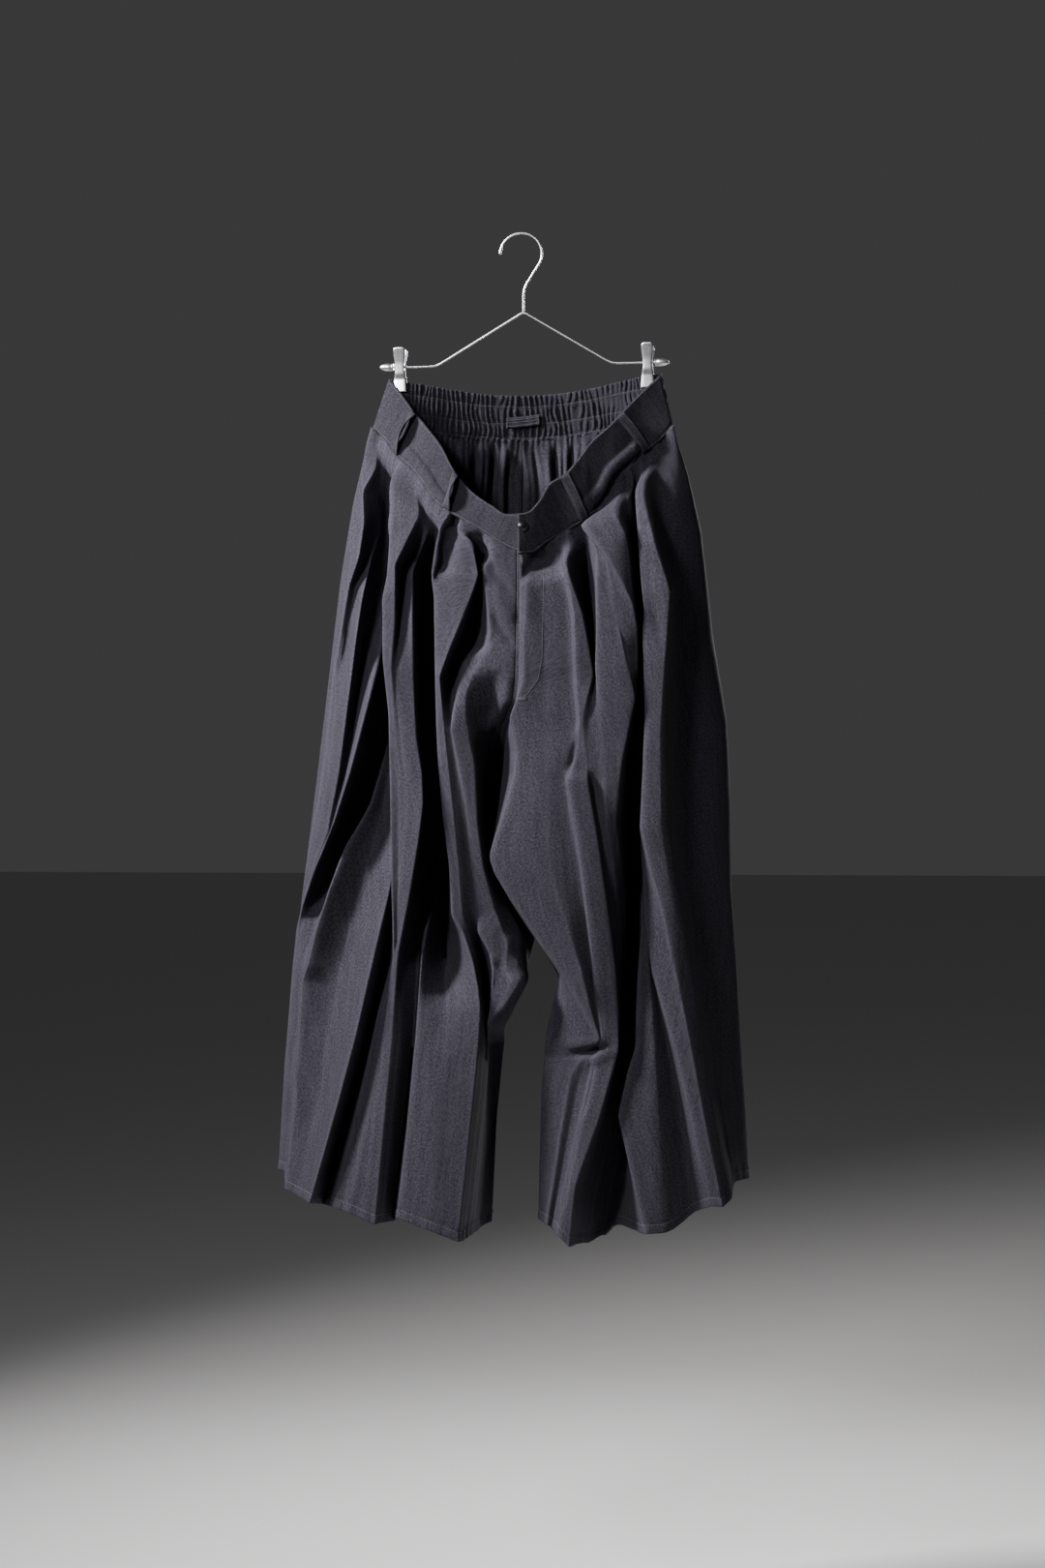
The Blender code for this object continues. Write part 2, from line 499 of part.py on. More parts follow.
def add_wire(name, points, radius, look, closed_ends=True):
    curve = bpy.data.curves.new(name, "CURVE")
    curve.dimensions = "3D"
    curve.bevel_depth = radius
    curve.bevel_resolution = 2
    curve.use_fill_caps = closed_ends
    spline = curve.splines.new("POLY")
    spline.points.add(len(points) - 1)
    for knot, p in zip(spline.points, points):
        knot.co = (*p, 1.0)
    return add_object(name, curve, look)


def add_turned(name, profile, place_matrix, look, steps=16, ring=False):
    """A turned piece: a profile of (radius, height) round the Z axis, running down its outer side."""
    edges = [(i, i + 1) for i in range(len(profile) - 1)]
    if ring:
        edges.append((len(profile) - 1, 0))
    mesh = bpy.data.meshes.new(name)
    mesh.from_pydata([(r, 0.0, h) for r, h in profile], edges, [])
    part = add_object(name, mesh, look)
    screw = part.modifiers.new("turn", "SCREW")
    screw.steps = steps
    screw.render_steps = steps
    screw.use_merge_vertices = True
    screw.merge_threshold = 0.00001
    screw.use_normal_calculate = True
    screw.use_normal_flip = ring
    part.matrix_world = place_matrix
    return part


# ---------------------------------------------------------------- waistbands

def band_point(band, stations, s, level):
    """A point on the middle of a band that is straight between its stations; level runs from top to low."""
    after = next((i for i, knot in enumerate(stations) if knot >= s and i > 0), len(stations) - 1)
    start, end = stations[after - 1], stations[after]
    ends = []
    for knot in (start, end):
        top = place(*station(band, knot, 0))
        low = place(*station(band, knot, 1))
        ends.append(top.lerp(low, level))
    return ends[0].lerp(ends[1], (s - start) / (end - start))


def band_stations(band, folds):
    """A front band turns where the folds of its panel are seated, and at its ends."""
    seats = sorted({round(station_of_column(band, fold[1]), 6) for fold in folds})
    spaced = [BAND_MARGIN]
    for s in seats + [1.0]:
        if s - spaced[-1] > STATION_STEP:
            spaced.append(s)
    spaced[-1] = 1.0
    return spaced


def make_waistband(name, band, folds, look):
    stations = band_stations(band, folds)
    rows = [[band_point(band, stations, s, level) for s in stations] for level in (0.0, 0.5, 1.0)]
    if band[-1][1][1] < band[0][1][1]:
        rows = [row[::-1] for row in rows]
    return add_wall(name, rows, BAND_WALL, look)


def elastic_point(index, level):
    """A point on the middle of the elastic; the index counts half gathers from the left side seam."""
    s = BAND_MARGIN + (1 - 2 * BAND_MARGIN) * index / (2 * GATHERS)
    return place(*station(BAND_BACK, s, 0)).lerp(place(*station(BAND_BACK, s, 1)), level)


def make_elastic(look):
    """The back waistband: small gathers, held flat along its rows of stitching."""
    rows = []
    for level, amount in ELASTIC_LEVELS:
        row = []
        for i in range(2 * GATHERS + 1):
            swell = GATHER_SWELL * amount * (1 if i % 2 else -1)
            row.append(elastic_point(i, level) + swell * sheet_direction(pi / 2))
        rows.append(row)
    return add_wall("waistband_back", rows, ELASTIC_WALL, look)


# ---------------------------------------------------------------- leg panels

def seat_on(band, column):
    """Where a fold starts: the place on the band's lower edge and the way the band runs down there."""
    s = station_of_column(band, column)
    low = station(band, s, 1)
    down = (place(*low) - place(*station(band, s, 0))).normalized()
    return low, down


def inner_turn(nominal):
    """How far round the cloth has turned where it meets the centre seam or the inseam, in radians."""
    return radians(90) * ease((nominal - CROTCH_ROW + CROTCH_EASE) / (2 * CROTCH_EASE))


def crotch_relief(nominal):
    """How far each panel's corner is drawn back where four of them meet."""
    return CROTCH_RELIEF * max(0.0, 1 - abs(nominal - CROTCH_ROW) / CROTCH_EASE)


def front_rows(band, folds, mirror):
    """Rows of points of a front, from its waist seam to its hem, folds in order."""
    seats = [seat_on(band, fold[1]) for fold in folds]
    names = [fold[0] for fold in folds]
    centre = FOLDS_LEFT[-1]
    centre_low, _ = seat_on(BAND_LEFT, centre[1])
    rows = []
    for index, nominal in enumerate(FRONT_ROWS):
        row = []
        for (low, down), name, fold in zip(seats, names, folds):
            start = place(*low) + down * GAP
            if index == 0:
                p = start
            elif index == 1:
                p = start + down * LAND
            elif name == "centre_seam" and nominal <= CROTCH_ROW:
                p = curve_point(centre_low, centre[2], nominal)
            elif name == "centre_seam":
                p = seam_point(centre_low, fold[2], nominal)
            elif name == "side_seam":
                p = seam_point(low, fold[2], nominal)
            else:
                p = curve_point(low, fold[2], nominal)
            row.append(p)
        rows.append(finish_row(row, index, nominal, names, mirror))
    return rows


def seam_direction(name, nominal, mirror, facing):
    """The level direction from a seam into a panel; facing is -1 for a front and 1 for a back."""
    if name == "side_seam":
        return sheet_direction(radians(90 * facing))
    turn = inner_turn(nominal)
    return sheet_direction(facing * turn if mirror else pi - facing * turn)


def finish_row(row, index, nominal, names, mirror):
    """Add the flat margins beside the seams and draw the edges back by half a gap."""
    finished = list(row)
    for end, name in ((0, names[0]), (-1, names[-1])):
        inward = seam_direction(name, nominal, mirror, -1)
        if index < 2:
            inward = (row[end + 1 if end == 0 else end - 1] - row[end]).normalized()
        relief = 0.0 if name == "side_seam" else crotch_relief(nominal)
        seam = row[end] + inward * (GAP / 2 + relief)
        land = seam + inward * (LAND if index > 1 else LAND / 3)
        if end == 0:
            finished = [seam, land] + finished[1:]
        else:
            finished = finished[:-1] + [land, seam]
    return finished


def make_front(name, band, folds, mirror, look):
    rows = front_rows(band, folds, mirror)
    return add_wall(name, rows, CLOTH, look)


def back_rows(folds, mirror):
    """Rows of points of a back, from its side seam to the centre seam and the inseam."""
    side = next(fold for fold in folds if fold[0] == "side_seam")
    inseam = next(fold for fold in folds if fold[0] == "centre_seam")
    side_low, _ = seat_on(BAND_RIGHT if mirror else BAND_LEFT, side[1])
    inner_low, _ = seat_on(BAND_LEFT, inseam[1])
    columns = GATHERS
    rows = []
    knots = [k[0] for k in BACK_SWELL]
    upper = curve_point(BACK_CENTRE[0], BACK_CENTRE[1:], BACK_ROWS[2])
    lower = seam_point(inner_low, inseam[2], BACK_ROWS[-1])
    for index, nominal in enumerate(BACK_ROWS):
        bulge = smooth_at(knots, [k[1] for k in BACK_SWELL], nominal) * MM
        fold_depth = smooth_at(knots, [k[2] for k in BACK_SWELL], nominal) * MM
        outer = seam_point(side_low, side[2], nominal)
        if nominal > CROTCH_ROW:
            inner = seam_point(inner_low, inseam[2], nominal)
        else:
            inner = curve_point(BACK_CENTRE[0], BACK_CENTRE[1:], nominal)
        to_side = seam_direction("side_seam", nominal, mirror, 1)
        to_inner = seam_direction("centre_seam", nominal, mirror, 1)
        outer += to_side * (GAP / 2)
        inner += to_inner * (GAP / 2 + crotch_relief(nominal))
        outer_land = outer + to_side * LAND
        inner_land = inner + to_inner * LAND
        hang = upper.lerp(lower, (nominal - BACK_ROWS[2]) / (BACK_ROWS[-1] - BACK_ROWS[2]))
        row = []
        for c in range(columns + 1):
            u = c / columns
            if index < 2:
                low = elastic_point(2 * GATHERS - c if mirror else c, 1.0)
                down = (low - elastic_point(2 * GATHERS - c if mirror else c, 0.0)).normalized()
                p = low + down * (GAP if index == 0 else LAND)
                if 1 < c < columns - 1:
                    p += sheet_direction(pi / 2) * GATHER_SWELL * 0.8 * (1 if c % 2 else -1)
                if c == columns:
                    p += to_inner * (GAP / 2)
            else:
                u = min(max((c - 1) / (columns - 2), 0.0), 1.0)
                p = outer_land.lerp(hang, u) + (inner_land - hang) * ease((u - BACK_EASE) / (1 - BACK_EASE))
                settle = ease(min(u, 1 - u) / 0.12)
                fine = GATHER_SWELL * 1.6 * max(0.0, 1 - (nominal - 532) / 150) * (1 if c % 2 else -1)
                wave = fold_depth * sin(2 * pi * BACK_FOLDS * u + 0.6) + fine
                p += sheet_direction(pi / 2) * (bulge * sin(pi * u) ** 0.7 + settle * wave)
                if c == 0:
                    p = outer
                if c == columns:
                    p = inner
            row.append(p)
        rows.append(row)
    return rows


def make_back(name, folds, mirror, look):
    rows = back_rows(folds, mirror)
    return add_wall(name, rows, CLOTH, look)


# ---------------------------------------------------------------- small pieces on the panels

def front_side(a, b, c):
    """The level-ish direction out of a patch of the front, towards the eye's side."""
    normal = (b - a).cross(c - a).normalized()
    return -normal if normal.y > 0 else normal


def on_band(band, stations, s, level, lift):
    """A point that stands off the middle of a front band by a lift."""
    p = band_point(band, stations, s, level)
    beside = band_point(band, stations, min(s + 0.01, 1.0), level)
    if s + 0.01 > 1.0:
        beside = band_point(band, stations, s - 0.01, level)
    return p + front_side(p, beside, band_point(band, stations, s, level + 0.05)) * lift


def make_loop(name, band, folds, top_s, low_s, bulge, look):
    """A belt loop: a folded strip down the band, sewn at both ends and standing off between them."""
    stations = band_stations(band, folds)
    lift = BAND_WALL / 2 + LOOP_SEAT + LOOP_WALL / 2
    rows = []
    for i in range(LOOP_ROWS + 1):
        level = 0.02 + 0.96 * i / LOOP_ROWS
        s = top_s + (low_s - top_s) * level
        centre = band_point(band, stations, s, level)
        along = (band_point(band, stations, s + 0.01, level) - centre).normalized()
        reach = LOOP_WIDTH / 2 / (band_point(band, stations, s + 0.01, level) - centre).length * 0.01
        stand = lift + bulge * sin(pi * i / LOOP_ROWS) ** 0.8
        row = [on_band(band, stations, s + reach * k, level, stand) for k in (-1, -0.5, 0, 0.5, 1)]
        rows.append(row if along.x > 0 else row[::-1])
    return add_wall(name, rows, LOOP_WALL, look)


def make_tape_loop(look):
    """The short tape inside the elastic at the centre back, lying level."""
    rows = []
    for level in (0.46, 0.58, 0.70):
        row = []
        for i in range(TAPE_STEPS + 1):
            index = GATHERS - TAPE_HALF + 2 * TAPE_HALF * i / TAPE_STEPS
            p = elastic_point(index, level - TAPE_TILT * (i / TAPE_STEPS - 0.5))
            row.append(p - sheet_direction(pi / 2) * TAPE_LIFT)
        rows.append(row)
    return add_wall("tape_loop", rows, LOOP_WALL, look)


def make_button(look):
    """A domed snap on the end of the right band."""
    stations = band_stations(BAND_RIGHT, FOLDS_RIGHT)
    seat = on_band(BAND_RIGHT, stations, BUTTON_S, BUTTON_LEVEL, BAND_WALL / 2 + GAP)
    out = (seat - band_point(BAND_RIGHT, stations, BUTTON_S, BUTTON_LEVEL)).normalized()
    r = BUTTON_RADIUS
    profile = [(0.0, 0.0), (r, 0.0), (r, 0.15 * r), (0.93 * r, 0.26 * r), (0.8 * r, 0.24 * r),
               (0.72 * r, 0.31 * r), (0.42 * r, 0.42 * r), (0.0, 0.46 * r)]
    turn = Vector((0, 0, 1)).rotation_difference(out).to_matrix().to_4x4()
    return add_turned("snap_button", profile, Matrix.Translation(seat) @ turn, look)


# ---------------------------------------------------------------- hanger

def arc(centre, radius, start, end, count):
    """Points on an arc in the XZ plane, angles in degrees."""
    return [Vector((centre[0] + radius * cos(radians(start + (end - start) * i / count)), 0.0,
                    centre[1] + radius * sin(radians(start + (end - start) * i / count))))
            for i in range(count + 1)]


def make_hook(look):
    centre = (-3 * MM, WIRE / 2 - HOOK_RADIUS)
    route = arc(centre, HOOK_RADIUS, 178, -24, 22)
    route += [Vector((9.5 * MM, 0, -47 * MM)), Vector((3.0 * MM, 0, -57.5 * MM)),
              Vector((0.8 * MM, 0, -62.5 * MM)), Vector((0.0, 0, -68 * MM)),
              Vector((0, 0, -APEX_DROP + WIRE / 2 + GAP))]
    return add_wire("hanger_hook", route, WIRE / 2, look)


def make_arms(look):
    """One wire, bent at the apex and again where it turns level through the clips."""
    half = [Vector((BAR_REACH - GAP, 0, -BAR_DROP)), Vector((108 * MM, 0, -BAR_DROP)),
            Vector((101 * MM, 0, -BAR_DROP + 0.8 * MM)), Vector((95 * MM, 0, -BAR_DROP + 3.4 * MM)),
            Vector((6 * MM, 0, -APEX_DROP - 3.0 * MM)), Vector((2.6 * MM, 0, -APEX_DROP - 0.9 * MM))]
    route = half + [Vector((0, 0, -APEX_DROP))] + [Vector((-p.x, 0, p.z)) for p in half[::-1]]
    return add_wire("hanger_arms", route, WIRE / 2, look)


def make_cap(name, side, look):
    """A bullet-shaped end cap, turned round the bar."""
    profile = [(0.0, CAP_LENGTH)]
    for i in range(1, 5):
        angle = radians(90 * i / 5)
        profile.append((CAP_RADIUS * sin(angle), CAP_LENGTH * 0.5 + CAP_LENGTH * 0.5 * cos(angle)))
    profile += [(CAP_RADIUS, CAP_LENGTH * 0.45), (CAP_RADIUS, 0.6 * MM), (CAP_RADIUS - 0.6 * MM, 0.0),
                (0.0, 0.0)]
    turn = Matrix.Rotation(radians(90 * side), 4, "Y")
    return add_turned(name, profile, Matrix.Translation((side * BAR_REACH, 0, -BAR_DROP)) @ turn, look)


def make_clip(side_name, side, look):
    """A pinch clip: two sprung arms round a barrel on the bar. It grips the end of the elastic."""
    x = side * CLIP_PLACE
    for arm_name, facing in (("front", -1), ("back", 1)):
        rows = []
        for drop, out, half in CLIP_ARM:
            depth = facing * out + JAW_LEAN[side_name] * max(0.0, drop - JAW_DROP)
            rows.append([Vector((x + half * MM * k, depth * MM, -drop * MM)) for k in (-1, -0.6, 0, 0.6, 1)])
        if facing > 0:
            rows = [row[::-1] for row in rows]
        add_wall(f"clip_{side_name}_{arm_name}", rows, CLIP_PLATE, look)
    inner = WIRE / 2 + GAP
    outer = 4.3 * MM
    length = 9.0 * MM
    ring = [(inner, length / 2), (inner, -length / 2), (outer, -length / 2), (outer, length / 2)]
    turn = Matrix.Rotation(radians(90), 4, "Y")
    add_turned(f"clip_{side_name}_barrel", ring, Matrix.Translation((x, 0, -BAR_DROP)) @ turn, look, 12, True)


# ---------------------------------------------------------------- build

def clear_scene():
    for old in list(bpy.data.objects):
        bpy.data.objects.remove(old)


def build():
    cloth = (CHARCOAL, 0.9)
    band_cloth = (CHARCOAL_DARK, 0.9)
    steel = (STEEL, 0.22, 1.0)
    make_waistband("waistband_left", BAND_LEFT, FOLDS_LEFT, band_cloth)
    make_waistband("waistband_right", BAND_RIGHT, FOLDS_RIGHT, band_cloth)
    make_elastic(band_cloth)
    make_front("front_left", BAND_LEFT, FOLDS_LEFT, False, cloth)
    make_front("front_right", BAND_RIGHT, FOLDS_RIGHT, True, cloth)
    make_back("back_left", FOLDS_LEFT, False, cloth)
    make_back("back_right", FOLDS_RIGHT, True, cloth)
    bands = {"left": (BAND_LEFT, FOLDS_LEFT), "right": (BAND_RIGHT, FOLDS_RIGHT)}
    for number, (side_name, top_s, low_s, bulge) in enumerate(BELT_LOOPS, 1):
        make_loop(f"belt_loop_{number}_{side_name}", *bands[side_name], top_s, low_s, bulge * MM, band_cloth)
    make_tape_loop(band_cloth)
    make_button((GUNMETAL, 0.35, 0.9))
    make_hook(steel)
    make_arms(steel)
    for side_name, side in (("left", -1), ("right", 1)):
        make_cap(f"cap_{side_name}", side, steel)
        make_clip(side_name, side, steel)


clear_scene()
PARTS = bpy.data.collections.new("hakama_trousers")
bpy.context.scene.collection.children.link(PARTS)
build()
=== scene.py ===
# %% [markdown]
# # Hakama trousers on a clip hanger
# Hakama are wide pleated trousers. Each leg is a broad tube of brushed twill: deep pleats are
# pressed into the front, and the back is gathered onto an elastic. Here they hang by the waist
# from two clips on a wire hanger. The lesson starts from a plain solid model, which fixes where
# everything is. Every cloth piece is then made again as a thin, softly folded shell on its
# solid's form, and the sewing is added to it.

# %% Load the frame
from math import cos, pi, radians, sin
import bpy
import numpy as np
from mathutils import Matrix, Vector
from mathutils.bvhtree import BVHTree


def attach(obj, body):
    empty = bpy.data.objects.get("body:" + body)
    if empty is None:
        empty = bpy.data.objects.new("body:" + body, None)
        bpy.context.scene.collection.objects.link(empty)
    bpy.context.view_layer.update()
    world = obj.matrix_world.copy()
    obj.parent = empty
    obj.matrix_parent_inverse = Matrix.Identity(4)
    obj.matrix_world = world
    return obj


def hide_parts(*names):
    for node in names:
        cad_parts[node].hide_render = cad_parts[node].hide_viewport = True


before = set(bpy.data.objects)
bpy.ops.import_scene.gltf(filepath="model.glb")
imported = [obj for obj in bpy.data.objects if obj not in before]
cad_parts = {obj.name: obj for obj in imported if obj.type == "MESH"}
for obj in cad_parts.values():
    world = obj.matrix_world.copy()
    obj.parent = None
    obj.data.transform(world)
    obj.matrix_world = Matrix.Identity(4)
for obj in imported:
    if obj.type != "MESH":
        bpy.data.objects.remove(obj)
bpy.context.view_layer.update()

print("solid nodes:", len(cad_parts))

# %% [markdown]
# ## Setting out on a squared sheet
# A maker of pleats marks them on squared paper. A place on the sheet is (row, column, depth): rows
# run down, columns run to the right, and depth is in millimetres behind the hook. The sheet is
# drawn as an eye level with the knees sees it, so places further back lie a little closer to the
# eye's level. numpy works out whole rows of places at once, where a loop would be slow.

# %% The squared sheet
MM = 0.001
SQUARE = 0.0011                 # one square, at the hook's depth
HOOK_ROW = 242
HOOK_COLUMN = 541
EYE_ROW = 810
EYE_DISTANCE = 3.465
SHEET_TURN = radians(8.0)       # the hanger has turned a little to the eye
ALONG = np.array([cos(SHEET_TURN), sin(SHEET_TURN), 0.0])
BACKWARD = np.array([-sin(SHEET_TURN), cos(SHEET_TURN), 0.0])
UP = np.array([0.0, 0.0, 1.0])
EYE = -EYE_DISTANCE * BACKWARD + (HOOK_ROW - EYE_ROW) * SQUARE * UP


def place(row, column, depth):
    """Points in space for places on the sheet."""
    back = np.asarray(depth, float) * MM
    reach = 1.0 + back / EYE_DISTANCE
    side = (np.asarray(column) - HOOK_COLUMN) * SQUARE * reach
    rise = (HOOK_ROW - EYE_ROW) * SQUARE + (EYE_ROW - np.asarray(row)) * SQUARE * reach
    return side[..., None] * ALONG + back[..., None] * BACKWARD + rise[..., None] * UP


def sheet_place(points):
    """Row and column on the sheet of points in space."""
    reach = 1.0 + points @ BACKWARD / EYE_DISTANCE
    column = HOOK_COLUMN + points @ ALONG / (SQUARE * reach)
    row = EYE_ROW - (points[..., 2] - (HOOK_ROW - EYE_ROW) * SQUARE) / (SQUARE * reach)
    return row, column


print("hook at", place(HOOK_ROW, HOOK_COLUMN, 0).round(4))

# %% [markdown]
# ## Smooth curves and even unevenness
# Three helpers serve every piece below: a soft step from 0 to 1, a curve through points that never
# overshoots them, and smooth noise. A table of seeded random values gives the same cloth on every
# run, and works on whole grids.

# %% Steps, curves and noise
NOISE_CELLS = 61


def ease(t):
    """A soft step from 0 to 1."""
    t = np.clip(t, 0.0, 1.0)
    return t * t * (3 - 2 * t)


def smooth_at(xs, ys, x):
    """Values at x of the smooth curve through points (xs, ys), which never overshoots them."""
    xs, ys = np.asarray(xs, float), np.asarray(ys, float)
    x = np.clip(x, xs[0], xs[-1])
    steps = np.diff(ys) / np.diff(xs)
    product = steps[:-1] * steps[1:]
    total = np.where(product > 0, steps[:-1] + steps[1:], 1.0)
    inner = np.where(product > 0, 2 * product / total, 0.0)
    tangents = np.concatenate([steps[:1], inner, steps[-1:]])
    i = np.clip(np.searchsorted(xs, x, side="right") - 1, 0, len(xs) - 2)
    width = xs[i + 1] - xs[i]
    t = (x - xs[i]) / width
    return ((1 + 2 * t) * (1 - t) ** 2 * ys[i] + t * (1 - t) ** 2 * width * tangents[i]
            + t * t * (3 - 2 * t) * ys[i + 1] + t * t * (t - 1) * width * tangents[i + 1])


def columns_at(table, x):
    """Every further column of a table of rows, as smooth curves over its first column."""
    first, *others = zip(*table)
    return [smooth_at(first, other, x) for other in others]


def soft_noise(x, y, seed):
    """Smooth uneven values from -1 to 1 over a plane, one cell to a unit, the same each run."""
    table = np.random.default_rng(seed).uniform(-1, 1, (NOISE_CELLS, NOISE_CELLS))
    x, y = np.broadcast_arrays(np.asarray(x, float) + 1000, np.asarray(y, float) + 1000)
    i, j = np.floor(x).astype(int), np.floor(y).astype(int)
    u, v = ease(x - i), ease(y - j)
    i, j, i2, j2 = (k % NOISE_CELLS for k in (i, j, i + 1, j + 1))
    top = table[i, j] * (1 - u) + table[i2, j] * u
    low = table[i, j2] * (1 - u) + table[i2, j2] * u
    return top * (1 - v) + low * v


print("a curve through (0, 0), (1, 2) and (2, 2), at 1.5:", smooth_at((0, 1, 2), (0, 2, 2), 1.5))

# %% [markdown]
# ## The waist
# The front of the waist is two stiff bands that lap at the closure, and the back is one casing.
# Each is given by pairs of places, on its top edge and on its lower edge. Curves would be quicker
# to draw by eye, but a table keeps both edges of a band a real height apart.

# %% The edges of the waistbands
BAND_LEFT = (
    ((391, 402, 17), (444, 384, 8)),
    ((404, 413, 6), (455, 397, -7)),
    ((426, 429, -8), (472, 410, -20)),
    ((443, 443, -25), (486, 426, -34)),
    ((460, 456, -38), (500, 437, -46)),
    ((486, 470, -51), (519, 450, -58)),
    ((508, 488, -62), (533, 470, -68)),
    ((522, 508, -71), (550, 500, -77)),
    ((531, 524, -76), (563, 520, -83)),
    ((530, 541, -77), (571, 541, -85)),
    ((524, 556, -74), (566, 560, -83)),
)
BAND_RIGHT = (
    ((386, 684, -26), (440, 696, -32)),
    ((403, 665, -36), (455, 684, -35)),
    ((421, 647, -45), (467, 668, -39)),
    ((440, 629, -53), (479, 654, -46)),
    ((457, 610, -60), (496, 636, -53)),
    ((473, 598, -65), (520, 624, -58)),
    ((489, 584, -71), (536, 608, -64)),
    ((500, 567, -77), (549, 588, -71)),
    ((517, 557, -82), (561, 566, -78)),
    ((529, 545, -87), (572, 549, -85)),
    ((531, 535, -90), (573, 535, -91)),
)
BAND_BACK = (
    ((391, 401, 21.3), (444, 383, 12)),
    ((395, 421, 18.6), (447, 412, 13)),
    ((399, 446, 21), (449, 443, 22)),
    ((404, 475, 24), (453, 474, 32)),
    ((408, 505, 24), (455, 505, 36)),
    ((409, 541, 22), (456, 541, 36)),
    ((407, 575, 16), (454, 577, 30)),
    ((402, 608, 5), (449, 611, 18)),
    ((395, 638, -8), (444, 644, 2)),
    ((389, 664, -19), (441, 675, -18)),
    ((386, 685, -22.2), (440, 697, -26)),
)


def band_edge(band, s, edge):
    """Places on a band's top edge (0) or lower edge (1), s from 0 to 1 along the band."""
    knots = np.linspace(0, 1, len(band))
    runs = zip(*(row[edge] for row in band))
    return np.stack([smooth_at(knots, run, s) for run in runs], axis=-1)


def band_edges(band, s):
    """Points in space on a band's two edges."""
    return place(*band_edge(band, s, 0).T), place(*band_edge(band, s, 1).T)


def seat_on(band, column):
    """Where a fold starts on a band: the place on its lower edge, and the band's slope there."""
    s = np.linspace(0, 1, 2001)
    low = band_edge(band, s, 1)
    i = int(np.argmin(np.abs(low[:, 1] - column)))
    top = band_edge(band, s[i], 0)
    return low[i], (low[i] - top) / (low[i][0] - top[0])


closure_top, closure_low = band_edges(BAND_LEFT, np.array([1.0]))
print("the left band is", round(float(np.linalg.norm(closure_top - closure_low)), 3), "m high")

# %% [markdown]
# ## The folds of the left front
# A pleat is given by the run of its folded edge: its name, the column where it is seated on the
# band, and the places it goes through down to the hem. With all the edges laid side by side, the
# cloth is simply what spans them. The alternative is to let a simulation find the folds, but it
# can't be told where the pressed edges lie.

